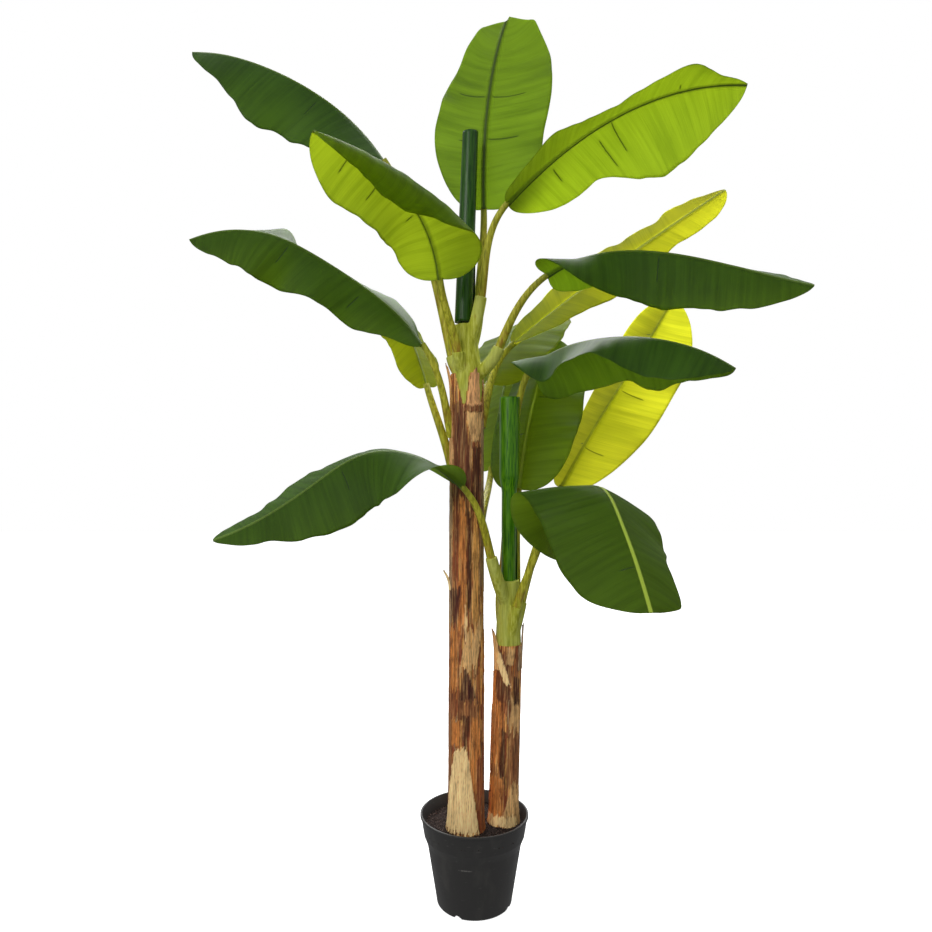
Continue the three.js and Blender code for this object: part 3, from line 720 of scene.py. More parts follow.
def makePlastic():
    look = plasticLook
    paint = Paint("black moulded plastic")
    grain = paint.noise(paint.place, 900.0, 2.0)
    dust = paint.grain(0.4, 26.0, 5.0, 0.6)
    color = paint.mix(paint.between(dust, 0.5, 0.75), look["clean"], look["dusty"])
    rubbed = paint.between(paint.grain(3.5, 60.0), 0.66, 0.74)
    color = paint.mix(rubbed * 0.35, color, look["rubbed"])
    # one scuff on the front
    spot = paint.stretch(paint.add("ShaderNodeMapping", paint.place, look["scuffPlace"]), look["scuffScale"])
    far = paint.add("ShaderNodeVectorMath", spot, operation="LENGTH")
    mark = far + paint.noise(paint.place, 300.0, 2.0) * 0.9
    color = paint.mix(paint.between(mark, 0.7, 1.35, 0.7, 0.0), color, look["scuffed"])
    paint.bump(grain, 0.15, 0.0004)
    return paint.finish(color, paint.between(dust, 0.3, 0.7, 0.36, 0.52), Specular_IOR_Level=0.5)


piece = addPiece("plant_pot", *lathe(potProfile(), pot["sides"], notched), [makePlastic()])
piece.data.set_sharp_from_angle(angle=pot["sharp"] * degree)
place(piece, "pot_plastic", "pot")
print("pot made")

# Filling: a rough surface with loose granules scattered over it

filling = {
    "level": soilLevel, "radius": 102.6, "deep": 30, "edge": 6, "rings": 30, "sides": 120, "sink": 1.5,
    "rough": 1.6, "roughLength": 14, "grain": 2.3, "least": 0.55, "most": 1.25, "density": 190000, "seed": 7,
    "colors": ((0.3, srgb(22, 15, 12)), (0.5, srgb(42, 31, 27)), (0.62, srgb(64, 50, 45)),
               (0.72, srgb(112, 96, 88))),
}


def makeGranulePaint():
    paint = Paint("granules")
    color = paint.ramp(paint.noise(paint.place, 330.0, 2.0), *filling["colors"])
    paint.bump(paint.noise(paint.place, 1500.0, 2.0), 0.4, 0.0006)
    return paint.finish(color, 0.85, Specular_IOR_Level=0.25)


def granuleTree():
    tree = Tree("scattered granules")
    top = tree.math("GREATER_THAN", tree.split(tree.add("GeometryNodeInputNormal"))[2], 0.6)
    seed = tree.size("Seed", "Int")
    spread = tree.add("GeometryNodeDistributePointsOnFaces", tree.geometry, top, tree.size("Density"), seed)
    grain = tree.add("GeometryNodeMeshIcoSphere", tree.size("Grain"), 1)
    turn = tree.random((0, 0, 0), (6.28, 6.28, 6.28), seed, "FLOAT_VECTOR")
    least, most = tree.size("Least"), tree.size("Most")
    stretch = tree.join(*(tree.random(least, most, k) for k in (1, 2, 3)))
    grains = tree.add("GeometryNodeInstanceOnPoints", Points=spread, Instance=grain, Rotation=turn,
                      Scale=stretch)
    both = tree.add("GeometryNodeJoinGeometry", grains)
    tree.feed(both.socket.node.inputs[0], tree.geometry)
    return tree.finish(both)


def rough(x, y, z, angle, radius):
    if z < filling["level"] - 2:
        return x, y, z
    bump = noise.noise((x / filling["roughLength"], y / filling["roughLength"], 3.0))
    return x, y, z - filling["sink"] + filling["rough"] * bump


level, radius = filling["level"], filling["radius"]
profile = [(0, level - filling["deep"]), (radius - filling["edge"], level - filling["deep"]),
           (radius, level - filling["sink"])]
profile += [(radius * (1 - k / filling["rings"]), level) for k in range(filling["rings"])] + [(0, level)]
piece = addPiece("granules", *lathe(profile, filling["sides"], rough))
granuleTree().use(piece, Density=float(filling["density"]), Seed=filling["seed"], Grain=filling["grain"] * mm,
                  Least=filling["least"], Most=filling["most"], Material=makeGranulePaint())
place(piece, "granules", "pot_fill")
print("filling made")

# Bark

barkColor = {
    "dark": srgb(66, 34, 22), "brown": srgb(138, 90, 56), "red": srgb(142, 78, 46),
    "orange": srgb(204, 130, 66), "amber": srgb(212, 158, 88), "tan": srgb(216, 176, 122),
    "pale": srgb(240, 214, 162), "grey": srgb(164, 138, 108), "purple": srgb(66, 32, 28),
    "peach": srgb(222, 170, 120), "mat": srgb(98, 54, 36), "green": srgb(150, 160, 70),
}

# Each strip of bark: its foot and top level, its edges at the foot and at the top in degrees round
# from the front (right is positive), its colour, how far it stands out and how ragged its ends are.
barkStrips = {
    "tall": [
        (158, 440, -90, -50, -90, -52, "brown", 0.3, 12), (385, 445, -72, -20, -60, -24, "red", 0.3, 10),
        (560, 850, -92, -54, -92, -56, "grey", 0.6, 14), (640, 845, -54, -28, -50, -30, "red", 0.2, 16),
        (560, 822, -25, 2, -26, -2, "orange", 0.8, 16), (600, 800, 2, 18, 0, 18, "dark", -0.6, 14),
        (560, 760, 18, 46, 20, 44, "amber", 0.5, 18), (822, 1008, -60, 30, -50, -10, "mat", -0.4, 12),
        (640, 980, 48, 92, 56, 92, "grey", 0.7, 12), (800, 922, 16, 46, 20, 56, "dark", -0.5, 10),
        (890, 1046, -92, -52, -88, -64, "peach", 1.2, 12), (575, 645, -52, -28, -72, -16, "purple", -0.4, 12),
        (535, 612, -4, -1, -5, -2, "pale", 0.7, 4), (440, 562, -58, -28, -60, -30, "orange", 0.9, 12),
        (478, 550, -22, 34, -4, 54, "tan", 1.0, 16), (540, 585, 28, 58, 44, 62, "tan", 0.8, 10),
        (415, 482, -24, 42, -8, 2, "purple", -0.6, 10), (383, 420, -30, 36, -26, 34, "brown", 0.4, 8),
        (326, 392, -8, 2, -14, 15, "dark", -0.7, 6), (330, 382, -56, -22, -54, -20, "orange", 0.6, 6),
        (236, 386, 12, 54, 14, 50, "orange", 0.6, 12), (158, 305, 34, 86, 36, 82, "red", 0.2, 10),
        (157, 328, -86, 42, -36, 2, "pale", 2.2, 9),
        (934, 994, 16, 44, -3, 62, "tan", 2.0, 5), (992, 1008, -8, 62, -6, 60, "brown", 3.0, 5),
        (1004, 1076, -4, 50, 17, 44, "peach", 2.4, 5),
        (1010, 1080, -10, -5, -52, 12, "green", -9.0, 3), (1014, 1080, 54, 60, 46, 120, "green", -9.0, 3),
    ],
    "short": [
        (291, 476, -84, -16, -80, -20, "orange", 0.5, 12), (410, 508, -56, 16, -60, 4, "mat", -0.4, 12),
        (240, 354, -24, 0, -22, -4, "dark", -0.8, 10), (230, 352, 2, 84, 4, 80, "brown", 0.3, 10),
        (350, 414, 12, 66, 10, 62, "tan", 0.9, 12), (400, 455, 24, 62, 22, 58, "dark", -0.3, 8),
        (170, 254, -72, -6, -66, -8, "orange", 0.7, 10), (440, 508, -8, 12, -74, -36, "pale", 1.6, 6),
        (470, 520, 44, 90, 44, 90, "grey", 1.2, 4), (482, 516, -6, 22, -4, 20, "tan", 0.8, 5),
        (155, 234, -14, 84, 20, 70, "tan", 1.8, 14), (155, 176, -80, 60, -76, 50, "pale", 0.8, 6),
    ],
}
barkMesh = {
    "tall": (156, 470), "short": (124, 220), "fibre": 0.5, "curl": 0.5, "ridge": 0.48, "ridges": 5,
    "ridgeTurn": 0.006, "backStrips": {"tall": 30, "short": 14}, "wobble": ((3.2, 22), (1.6, 5)),
    "proud": 0.9, "cream": 0.4, "below": 4, "dished": 6,
    "coarse": (5, 240), "middle": (16, 90), "fine": (42, 28), "speck": (30, 7), "thread": (26, 60),
}
plainBark = ("red", "brown", "orange", "dark", "brown", "grey", "red", "amber")
barkLook = {
    "streaks": ((0.38, (0.42, 0.36, 0.32)), (0.5, (1.1, 1.06, 1.0)), (0.62, (1.75, 1.6, 1.4))),
    "clean": (1.32, 1.22, 1.02), "stain": srgb(92, 44, 24), "thread": srgb(240, 196, 128),
}
tuft = {"stem": "short", "top": soilLevel + 75, "from": 5, "to": 100, "more": 2.5}


# strips of the same kind for the sides that the front's list leaves plain
def backStrips(key, seed):
    chance = random.Random(seed)
    stem = stems[key]
    strips = []
    for _ in range(barkMesh["backStrips"][key]):
        foot = chance.uniform(soilLevel - 20, stem["top"] - 60)
        top = foot + chance.uniform(60, 230)
        left = chance.uniform(92, 250)
        right = left + chance.uniform(18, 46)
        skew = chance.uniform(-8, 8)
        color = chance.choice(("orange", "tan", "dark", "grey", "red", "amber", "mat", "pale", "brown"))
        strips.append((foot, min(top, stem["top"] + 5), left, right, left + skew, right + skew - 4, color,
                       chance.uniform(-0.4, 1.6), 12))
    return strips


# how far the two ends of strip n run out at each side
def raggedEnds(n, rag, sides, seed):
    fray = min(3.0, rag / 5)
    runs = []
    for i in range(sides):
        low = noise.noise((i * 0.22, n * 7.7, seed)) + fray * noise.noise((i * 0.85, n * 7.7, seed))
        high = noise.noise((i * 0.22, n * 7.7, seed + 50)) + fray * noise.noise((i * 0.85, n, seed))
        runs.append((rag * low, rag * high))
    return runs


# noise on the bark: how fine it is round the stem, and its length up the stem
def barkNoise(kind, x, y, z, shift):
    scale, length = barkMesh[kind]
    return noise.noise((x * scale, y * scale, z / length + shift))


def mixColors(first, second, share):
    return tuple(lerp(a, b, share) for a, b in zip(first, second))


def makeTrunk(key, seed):
    stem = stems[key]
    sides, rings = barkMesh[key]
    strips = backStrips(key, seed) + barkStrips[key]
    foot, top = soilLevel - barkMesh["below"], stem["top"]
    ends = [raggedEnds(n, strip[8], sides, seed) for n, strip in enumerate(strips)]
    points, colors, shaggy = [], [], []
    for j in range(rings + 1):
        z = lerp(foot, top, j / rings)
        centre = stemCentre(stem, z)
        radius = stemRadius(stem, max(z, soilLevel))
        near = []
        for n, (low, high, l0, r0, l1, r1, color, stand, rag) in enumerate(strips):
            if low - rag * 3 < z < high + rag * 3:
                t = min(1.0, max(0.0, (z - low) / (high - low)))
                wobble = 0.0
                for size, length in barkMesh["wobble"]:
                    wobble += size * noise.noise((z / length, n * 3.1, seed))
                near.append((n, low, high, lerp(l0, l1, t) + wobble, lerp(r0, r1, t) + wobble,
                             barkColor[color], stand))
        for i in range(sides):
            angle = 2 * math.pi * i / sides
            front = (angle / degree + 90 + 180) % 360 - 180
            x, y = math.cos(angle), math.sin(angle)
            coarse, middle, fibre = (barkNoise(kind, x, y, z, seed) for kind in ("coarse", "middle", "fine"))
            pick = (coarse * 0.7 + middle * 0.5) * 4.5 + len(plainBark) * 4
            color = barkColor[plainBark[int(pick) % len(plainBark)]]
            lift = 0.6 * middle + barkMesh["fibre"] * fibre
            lift += barkMesh["ridge"] * math.sin(barkMesh["ridges"] * angle + barkMesh["ridgeTurn"] * z)
            for n, low, high, left, right, stripColor, stand in near:
                side = front + 360 if right > 180 and front < left - 180 else front
                down, up = ends[n][i]
                soft, cover = (0.7, 0.97) if stand > barkMesh["proud"] else (2.0, 0.9)
                inside = min(side - left, right - side) * degree * radius + 2.2 * soft * fibre
                inside = min(inside, z - low + down, high + up - z)
                if inside > -soft:
                    share = blend(-soft, soft, inside) * cover
                    color = mixColors(color, stripColor, share)
                    edge = max(0.0, 1 - abs(inside - 1.5) / 3)
                    lift = lift * (1 - 0.5 * share) + share * (stand + barkMesh["curl"] * edge * (stand > 0))
            bright = 1 + 0.5 * fibre + 0.3 * barkNoise("speck", x, y, z, 0)
            cream = blend(0.16, 0.5, barkNoise("thread", x, y, z, seed + 9)) * barkMesh["cream"]
            color = mixColors(color, barkColor["tan"], cream)
            reach = radius + lift
            points.append((centre.x + x * reach, centre.y + y * reach, z))
            colors += [max(0.0, c * bright) for c in color] + [1.0]
            tufted = key == tuft["stem"] and z < tuft["top"] and tuft["from"] < front < tuft["to"]
            shaggy.append(min(1.0, max(0.0, 0.25 + middle)) + (tuft["more"] if tufted else 0.0))
    count = len(points)
    high = stemCentre(stem, top)
    points += [tuple(stemCentre(stem, foot)), (high.x, high.y, top - barkMesh["dished"])]
    faces = gridFaces(rings, sides, True)
    for i in range(sides):
        k = (i + 1) % sides
        faces += [(k, i, count), (rings * sides + i, rings * sides + k, count + 1)]
    piece = addPiece("bark_" + key, points, faces, [barkPaint])
    addColors(piece, colors + [0.1, 0.05, 0.03, 1.0] * 2)
    addValues(piece, "shaggy", shaggy + [0.0, 0.0])
    return piece


def makeBarkPaint():
    look = barkLook
    paint = Paint("dry bark")
    base = paint.attribute("barkColor", "Color")
    rough = paint.between(paint.add("ShaderNodeSeparateColor", base)[1], 0.25, 0.6, 1.0, 0.35)
    fibre = paint.grain(0.035, 560.0, 4.0, 0.7, 0.3)
    coarse = paint.grain(0.05, 150.0, 3.0, 0.6, 0.5)
    blotch = paint.grain(0.35, 95.0, 4.0, 0.6)
    both = fibre * 0.55 + coarse * 0.45
    dark = paint.mix(1.0, base, paint.ramp(both, *look["streaks"]), "MULTIPLY")
    color = paint.mix(rough, paint.mix(1.0, base, look["clean"], "MULTIPLY"), dark)
    stain = paint.math("MULTIPLY", paint.between(blotch, 0.54, 0.68, 0.0, 0.6), rough, use_clamp=True)
    color = paint.mix(stain, color, look["stain"])
    thread = paint.grain(0.03, 330.0, 3.0, 0.6, 0.4)
    color = paint.mix(paint.between(thread, 0.58, 0.69, 0.0, 0.35), color, look["thread"])
    paint.bump(both + blotch * 0.5, 0.8, 0.0016)
    return paint.finish(color, 0.72, Specular_IOR_Level=0.25)


barkPaint = makeBarkPaint()
trunks = {"tall": makeTrunk("tall", 3), "short": makeTrunk("short", 11)}
print("trunks made")

# Loose fibres on the bark

strand = {"length": 26, "thick": 0.35, "arch": 2.2, "density": 1500, "tilt": 0.5,
          "seeds": {"tall": 5, "short": 6},
          "colors": ((0.35, srgb(120, 76, 46)), (0.5, srgb(176, 128, 84)), (0.62, srgb(216, 184, 140)))}


def strandTree():
    tree = Tree("loose fibres")
    seed = tree.size("Seed", "Int")
    length, thick, arch = tree.size("Length"), tree.size("Thick"), tree.size("Arch")
    dense = tree.named("shaggy") * tree.size("Density")
    spread = tree.add("GeometryNodeDistributePointsOnFaces", tree.geometry, None, dense, seed)
    rod = tree.add("GeometryNodeMeshCylinder", 3, 6, 1, 1.0, 1.0)
    x, y, z = tree.split(tree.position())
    slim = (1.0 - abs(z) * 1.6) * thick
    bow = (z * z * 4.0 - 0.6) * arch
    shaped = tree.join(z * length, y * (slim * -1.0), x * slim + bow)
    rod = tree.add("GeometryNodeSetPosition", rod, None, shaped)
    lean = tree.random((-1, -1, 0), (1, 1, 0), seed, "FLOAT_VECTOR")
    lean = tree.vector("ADD", tree.vector("SCALE", lean, tree.size("Tilt")), (0, 0, 1))
    turn = tree.add("FunctionNodeAxesToRotation", spread[1], lean, primary_axis="Z", secondary_axis="X")
    fibres = tree.add("GeometryNodeInstanceOnPoints", Points=spread, Instance=rod, Rotation=turn,
                      Scale=tree.random(0.3, 1.2, seed))
    return tree.finish(fibres)


def makeStrandPaint():
    paint = Paint("bark fibre")
    color = paint.ramp(paint.noise(paint.place, 70.0, 2.0), *strand["colors"])
    return paint.finish(color, 0.8, Specular_IOR_Level=0.25)


strandPaint = makeStrandPaint()
strandShape = strandTree()
for key, trunk in trunks.items():
    piece = addObject("fibres_" + key, trunk.data.copy())
    strandShape.use(piece, Seed=strand["seeds"][key], Length=strand["length"] * mm,
                    Thick=strand["thick"] * mm, Arch=strand["arch"] * mm, Tilt=strand["tilt"],
                    Density=float(strand["density"]), Material=strandPaint)
    place(piece, "bark")
for key, trunk in trunks.items():
    place(trunk, "bark", "trunk_" + key)
print("fibres made")

# Torn ends of bark that stand off the stems: stem, side in degrees, level, height, width, lift and colour

flaps = {
    "bark_flap_left": ("tall", 183, 1020, 70, 26, 9, "peach"),
    "bark_flap_front": ("tall", 300, 1000, 80, 24, 3, "peach"),
    "bark_stub": ("tall", 188, 636, 40, 17, 11, "pale"),
    "bark_flap_torn": ("short", 205, 470, 85, 24, 9, "tan"),
    "bark_strip": ("short", 350, 470, 92, 12, 3, "grey"),
}
flapMesh = {
    "columns": 18, "rows": 54, "thick": 1.6, "taper": 0.75, "ragged": 5.0, "point": 10, "wobble": (1.2, 9),
    "gap": 1.6, "leastGap": 0.2, "cup": 3.0, "ripple": (0.8, 30),
}


def makeFlap(name, seed):
    key, side, level, height, width, stand, colorName = flaps[name]
    stem = stems[key]
    columns, rows = flapMesh["columns"], flapMesh["rows"]
    points, colors = [], []
    for j in range(rows + 1):
        t = j / rows
        for i in range(columns + 1):
            across = i / columns - 0.5
            rag = noise.noise((i * 0.45, seed * 5.0, 0.0)) * flapMesh["ragged"] * t
            z = level + height * t + rag - flapMesh["point"] * t * abs(across)
            wobble = flapMesh["wobble"][0] * noise.noise((z / flapMesh["wobble"][1], seed * 3.0, across))
            wide = width * (1 - flapMesh["taper"] * t ** 2)
            angle = side * degree + (across * wide + wobble) / stem["headRadius"]
            lift = stand * t ** 2 + flapMesh["gap"] - flapMesh["cup"] * (across * 2) ** 2 * (0.4 + t)
            lift += flapMesh["ripple"][0] * noise.noise((i * 0.8, z / flapMesh["ripple"][1], seed))
            centre = stemCentre(stem, min(z, stem["top"]))
            reach = stemRadius(stem, min(z, stem["top"])) + max(lift, flapMesh["leastGap"])
            points.append((centre.x + math.cos(angle) * reach, centre.y + math.sin(angle) * reach, z))
            bright = 1 + 0.4 * noise.noise((i * 1.3, z / 26, seed)) - 0.3 * blend(0.8, 1.0, t)
            colors += [max(0.0, c * bright) for c in barkColor[colorName]] + [1.0]
    piece = addPiece("torn_" + name, points, gridFaces(rows, columns), [barkPaint])
    addColors(piece, colors)
    thicken(piece, flapMesh["thick"])
    place(piece, "bark", name)


for seed, name in enumerate(flaps, 1):
    makeFlap(name, seed)
print("torn bark made")

# Leaf stalks; the sheaths that hold them are made with the crowns below

stalk = {
    "footRadius": 9.5, "headRadius": 6.5, "plug": 12, "lift": 0.5, "footHandle": 0.35, "headHandle": 0.35,
    "intoBlade": 3, "sides": 20, "steps": 48, "groove": 0.22,
    "colors": ((0.36, srgb(136, 136, 28)), (0.5, srgb(176, 174, 42)), (0.64, srgb(204, 200, 68))),
    "rust": srgb(150, 98, 34), "headColor": srgb(80, 110, 36),
}


def stalkMouth(leaf):
    if "from" in leaf:
        return Vector(leaf["from"])
    stem = stems[leaf["stem"]]
    angle = leaf["side"] * degree
    reach = stemRadius(stem, leaf["level"])
    return stemCentre(stem, leaf["level"]) + Vector((math.cos(angle), math.sin(angle), 0)) * reach


def stalkStart(leaf):
    way = (Vector(leaf["base"]) - stalkMouth(leaf)).normalized()
    way.z += stalk["lift"]
    return way.normalized()


def stalkLine(leaf):
    foot = stalkMouth(leaf) - stalkStart(leaf) * stalk["plug"]
    head = Vector(leaf["base"]) + heading(leaf, 0) * stalk["intoBlade"]
    span = (head - foot).length
    first = foot + stalkStart(leaf) * span * stalk["footHandle"]
    last = head - heading(leaf, 0) * span * leaf.get("headHandle", stalk["headHandle"])
    spots = []
    for i in range(stalk["steps"] + 1):
        t = i / stalk["steps"]
        near = foot * (1 - t) ** 3 + first * 3 * t * (1 - t) ** 2
        spots.append(near + last * 3 * t * t * (1 - t) + head * t ** 3)
    return spots


# the way that a line runs at its point i
def wayAt(line, i):
    return (line[min(i + 1, len(line) - 1)] - line[max(i - 1, 0)]).normalized()


def stalkTree():
    tree = Tree("leaf stalk")
    line = tree.add("GeometryNodeMeshToCurve", tree.geometry)
    upward = tree.named("upward", "FLOAT_VECTOR")
    line = tree.add("GeometryNodeSetCurveNormal", line, None, upward, mode="FREE")
    ring = tree.add("GeometryNodeCurvePrimitiveCircle", tree.size("Sides", "Int"), 1.0)
    top = tree.math("POWER", tree.math("MAXIMUM", tree.split(tree.position())[0], 0.0), 6.0)
    dent = 1.0 - top * tree.size("Groove")
    ring = tree.add("GeometryNodeSetPosition", ring, None, tree.vector("SCALE", tree.position(), dent))
    return tree.finish(tree.add("GeometryNodeCurveToMesh", line, ring, tree.named("thick"), True))


def makeStalkPaint():
    paint = Paint("leaf stalk")
    streak = paint.grain(0.12, 240.0, 3.0, 0.6, 0.3)
    color = paint.ramp(streak, *stalk["colors"])
    high = paint.attribute("alongStalk")
    rusty = paint.between(paint.grain(0.3, 60.0, 4.0, 0.6), 0.46, 0.66)
    color = paint.mix(rusty * paint.between(high, 0.05, 0.5, 0.75, 0.12), color, stalk["rust"])
    color = paint.mix(paint.between(high, 0.75, 1.0, 0.0, 0.35), color, stalk["headColor"])
    paint.bump(streak, 0.35, 0.0012)
    return paint.finish(color, 0.5, Specular_IOR_Level=0.25)


stalkPaint = makeStalkPaint()
stalkShape = stalkTree()
for leaf in leaves:
    line = stalkLine(leaf)
    last = len(line) - 1
    up = station(leaf, [Vector(leaf["base"])] * 3, 0)[3]
    upward = []
    for i in range(last + 1):
        ahead = wayAt(line, i)
        upward.extend((up - ahead * up.dot(ahead)).normalized())
    shares = [i / last for i in range(last + 1)]
    piece = addPiece("petiole_" + leaf["name"], line, [], edges=[(i, i + 1) for i in range(last)])
    addValues(piece, "upward", upward, "FLOAT_VECTOR")
    addValues(piece, "thick", [lerp(stalk["footRadius"], stalk["headRadius"], t) * mm for t in shares])
    addValues(piece, "alongStalk", shares)
    stalkShape.use(piece, Sides=stalk["sides"], Groove=stalk["groove"], Material=stalkPaint)
    place(piece, "stalk", "stalk_" + leaf["name"])
print("stalks made")

# Crowns: the green sheaths that wrap each other at the top of a stem

cores = {
    "tall": {"height": 100, "footRadius": 30.5, "headRadius": 23, "sink": 62},
    "short": {"height": 132, "footRadius": 26.5, "headRadius": 21.5, "sink": 12},
}
coreMesh = {"sides": 48, "steps": 24}
sleeve = {
    "footRadius": 14, "headRadius": 12, "reach": 110, "handle": 0.5, "sides": 28, "steps": 30, "voxel": 1.5,
    "soften": 0.5, "softenTimes": 6, "pale": srgb(196, 204, 112), "stain": srgb(150, 110, 44),
    "colors": ((0.34, srgb(146, 150, 38)), (0.5, srgb(180, 184, 58)), (0.66, srgb(206, 210, 98))),
}


# adds a closed round bar that follows a line
def tube(points, faces, line, radii, sides):
    start = len(points)
    side = Vector((1, 0.3, 0.1))
    for i, spot in enumerate(line):
        ahead = wayAt(line, i)
        side = (side - ahead * side.dot(ahead)).normalized()
        other = ahead.cross(side)
        for k in range(sides):
            angle = 2 * math.pi * k / sides
            points.append(spot + (side * math.cos(angle) + other * math.sin(angle)) * radii[i])
    faces += gridFaces(len(line) - 1, sides, True, start)
    last = len(points) - sides
    faces += [tuple(range(start + sides - 1, start - 1, -1)), tuple(range(last, last + sides))]


def makeCrown(key):
    stem, core, roll = stems[key], cores[key], rolls[key]
    centre = stemCentre(stem, stem["top"])
    foot = stem["top"] - core["sink"]
    head = Vector(roll["foot"])
    points, faces, line, radii = [], [], [], []
    for i in range(coreMesh["steps"] + 1):
        z = lerp(foot, stem["top"] + core["height"], i / coreMesh["steps"])
        rise = max(0.0, (z - stem["top"]) / core["height"])
        spot = centre.lerp(head, rise)
        line.append(Vector((spot.x, spot.y, z)))
        radii.append(lerp(core["footRadius"], core["headRadius"], rise))
    tube(points, faces, line, radii, coreMesh["sides"])
    shares = [i / sleeve["steps"] for i in range(sleeve["steps"] + 1)]
    radii = [lerp(sleeve["footRadius"], sleeve["headRadius"], t) for t in shares]
    for leaf in leaves:
        if leaf["stem"] != key or "from" not in leaf:
            continue
        end = stalkMouth(leaf)
        low = max(end.z - sleeve["reach"], stem["top"] - sleeve["footRadius"])
        start = Vector((centre.x, centre.y, low))
        middle = end - stalkStart(leaf) * ((end - start).length * sleeve["handle"])
        line = [start * (1 - t) ** 2 + middle * 2 * t * (1 - t) + end * t * t for t in shares]
        tube(points, faces, line, radii, sleeve["sides"])
    piece = addPiece("sheaths_" + key, points, faces)
    remesh = piece.modifiers.new("fuse", "REMESH")
    remesh.mode = "VOXEL"
    remesh.voxel_size = sleeve["voxel"] * mm
    remesh.use_smooth_shade = True
    smooth = piece.modifiers.new("soften", "SMOOTH")
    smooth.factor = sleeve["soften"]
    smooth.iterations = sleeve["softenTimes"]
    settle(piece)
    piece.data.materials.append(sheathPaint)
    place(piece, "sheath", "crown_" + key)


def makeSheathPaint():
    paint = Paint("pale sheath")
    streak = paint.grain(0.1, 210.0, 3.0, 0.6, 0.2)
    color = paint.ramp(streak, *sleeve["colors"])
    pale = paint.between(paint.grain(0.35, 30.0), 0.4, 0.66, 0.0, 0.5)
    color = paint.mix(pale, color, sleeve["pale"])
    stain = paint.between(paint.grain(0.5, 75.0, 4.0, 0.65), 0.6, 0.72, 0.0, 0.4)
    color = paint.mix(stain, color, sleeve["stain"])
    paint.bump(streak, 0.35, 0.0012)
    return paint.finish(color, 0.6, Specular_IOR_Level=0.18)


sheathPaint = makeSheathPaint()
for key in cores:
    makeCrown(key)
print("crowns made")

# Rolled young leaves: one sheet wound up, by a tree

rolledSheet = {"turns": 2.3, "shrink": 0.5, "twist": 1.3, "columns": 140, "rows": 90, "thick": 1.0}


def rollTree():
    tree = Tree("rolled leaf")
    grid = tree.add("GeometryNodeMeshGrid", 1.0, 1.0, tree.size("Columns", "Int"), tree.size("Rows", "Int"))
    x, y, z = tree.split(tree.position())
    wound, high = x + 0.5, y + 0.5
    turn = wound * tree.size("Turns") * (2 * math.pi) + high * tree.size("Twist")
    low, top = tree.size("Foot Radius"), tree.size("Head Radius")
    share = tree.math("DIVIDE", high - tree.size("Step"), tree.size("Spread"))
    share = tree.math("MINIMUM", tree.math("MAXIMUM", share, 0.0), 1.0)
    radius = (low + (top - low) * share) * (1.0 - wound * tree.size("Shrink"))
    ring = tree.join(tree.math("COSINE", turn) * radius, tree.math("SINE", turn) * radius, 0.0)
    foot, head = tree.size("Foot", "Vector"), tree.size("Head", "Vector")
    axis = tree.vector("SCALE", tree.vector("SUBTRACT", head, foot), high)
    spot = tree.vector("ADD", tree.vector("ADD", foot, axis), ring)
    sheet = tree.add("GeometryNodeSetPosition", grid, None, spot)
    return tree.finish(tree.add("GeometryNodeStoreNamedAttribute", sheet, None, "rollHeight", high,
                                data_type="FLOAT", domain="POINT"))


def makeRollPaint(name, dark, light, cap, capStart):
    paint = Paint(name)
    streak = paint.grain(0.05, 420.0, 3.0, 0.6)
    color = paint.mix(paint.between(streak, 0.35, 0.65), dark, light)
    color = paint.mix(paint.between(paint.attribute("rollHeight"), capStart, 0.99), color, cap)
    paint.bump(streak + paint.grain(1.4, 300.0, 2.0) * 0.6, 0.22, 0.001)
    return paint.finish(color, 0.3, Specular_IOR_Level=0.3)


rollPaints = {
    "tall": makeRollPaint("rolled leaf, dark", srgb(20, 62, 6), srgb(48, 92, 16),
                          srgb(84, 124, 44), 0.968),
    "short": makeRollPaint("rolled leaf, young", srgb(42, 96, 6), srgb(92, 150, 16),
                           srgb(160, 190, 40), 0.84),
}
rollShape = rollTree()
for key, roll in rolls.items():
    piece = addPiece("rolled_" + key, [(0, 0, 0), (1, 0, 0), (0, 1, 0)], [(0, 1, 2)])
    rollShape.use(piece, Foot=tuple(Vector(roll["foot"]) * mm), Head=tuple(Vector(roll["head"]) * mm),
                  Foot_Radius=roll["footRadius"] * mm, Head_Radius=roll["headRadius"] * mm,
                  Step=roll["step"][0], Spread=roll["step"][1], Columns=rolledSheet["columns"],
                  Rows=rolledSheet["rows"], Turns=rolledSheet["turns"], Twist=rolledSheet["twist"],
                  Shrink=rolledSheet["shrink"], Material=rollPaints[key])
    thicken(piece, rolledSheet["thick"])
    place(piece, "rolled_leaf", "roll_" + key)
print("rolled leaves made")

# Floor, light and camera

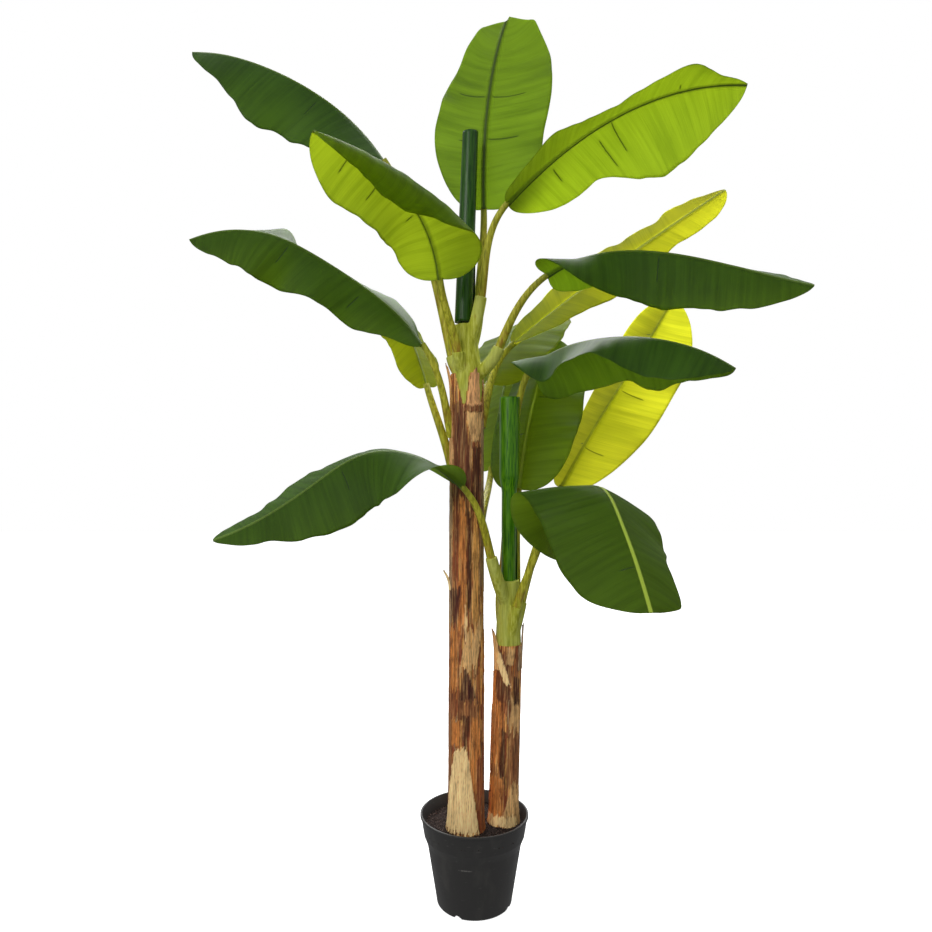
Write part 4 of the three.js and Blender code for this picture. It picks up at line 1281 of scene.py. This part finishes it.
studio = {"aim": (0.05, 0, 1.1), "skyRange": (-0.3, 0.8), "skyLight": (0.30, 0.60), "floor": 9000,
          "floorLevel": -0.3}
lamps = {"key light": ((0.2, 1.9, 3.6), 3.4, 215), "front fill": ((-1.6, -2.6, 2.2), 1.8, 38)}
view = {"place": (-0.017, -1.530, 0.877), "focal": 28.97, "shift": 0.0043, "sensor": 36, "farthest": 50}


# white like the background, and kept from lighting the plant
def makeFloor():
    paint = Paint("white floor")
    color = paint.mix(paint.noise(paint.place, 3.0, 2.0), (0.5, 0.5, 0.5), (0.52, 0.52, 0.52))
    paint.finish(color, 0.9, Specular_IOR_Level=0.0, Emission_Strength=0.97, Emission_Color=(1, 1, 1))
    far, low = studio["floor"], studio["floorLevel"]
    points = [(-far, -far, low), (far, -far, low), (far, far, low), (-far, far, low)]
    floor = addPiece("floor", points, [(0, 1, 2, 3)], [paint.material], smooth=False)
    floor.visible_diffuse = False
    floor.visible_glossy = False
    floor.visible_transmission = False


# white behind the plant; as light it is bright overhead and dim from below
def makeSky():
    world = bpy.data.worlds.new("studio")
    world.use_nodes = True
    sky = Nodes(world.node_tree)
    height = sky.split(sky.add("ShaderNodeTexCoord")["Generated"])[2]
    dome = sky.add("ShaderNodeMapRange", height, *studio["skyRange"], *studio["skyLight"])
    seen = sky.add("ShaderNodeMix", sky.add("ShaderNodeLightPath")["Is Camera Ray"], dome, 1.0)
    background = world.node_tree.nodes["Background"]
    sky.feed(background.inputs["Strength"], seen)
    sky.feed(background.inputs["Color"], (1, 1, 1))
    bpy.context.scene.world = world


makeFloor()
makeSky()
for name, (spot, size, power) in lamps.items():
    light = bpy.data.lights.new(name, "AREA")
    light.shape = "DISK"
    light.size = size
    light.energy = power
    lamp = addObject(name, light)
    lamp.location = spot
    lamp.rotation_euler = (Vector(studio["aim"]) - Vector(spot)).to_track_quat("-Z", "Y").to_euler()

lens = bpy.data.cameras.new("photo view")
lens.lens = view["focal"]
lens.sensor_width = view["sensor"]
lens.shift_y = view["shift"]
lens.clip_end = view["farthest"]
camera = addObject("photo view", lens)
camera.location = view["place"]
camera.rotation_euler = (90 * degree, 0, 0)
bpy.context.scene.camera = camera
bpy.context.scene.view_settings.view_transform = "Standard"
print("floor, light and camera made")
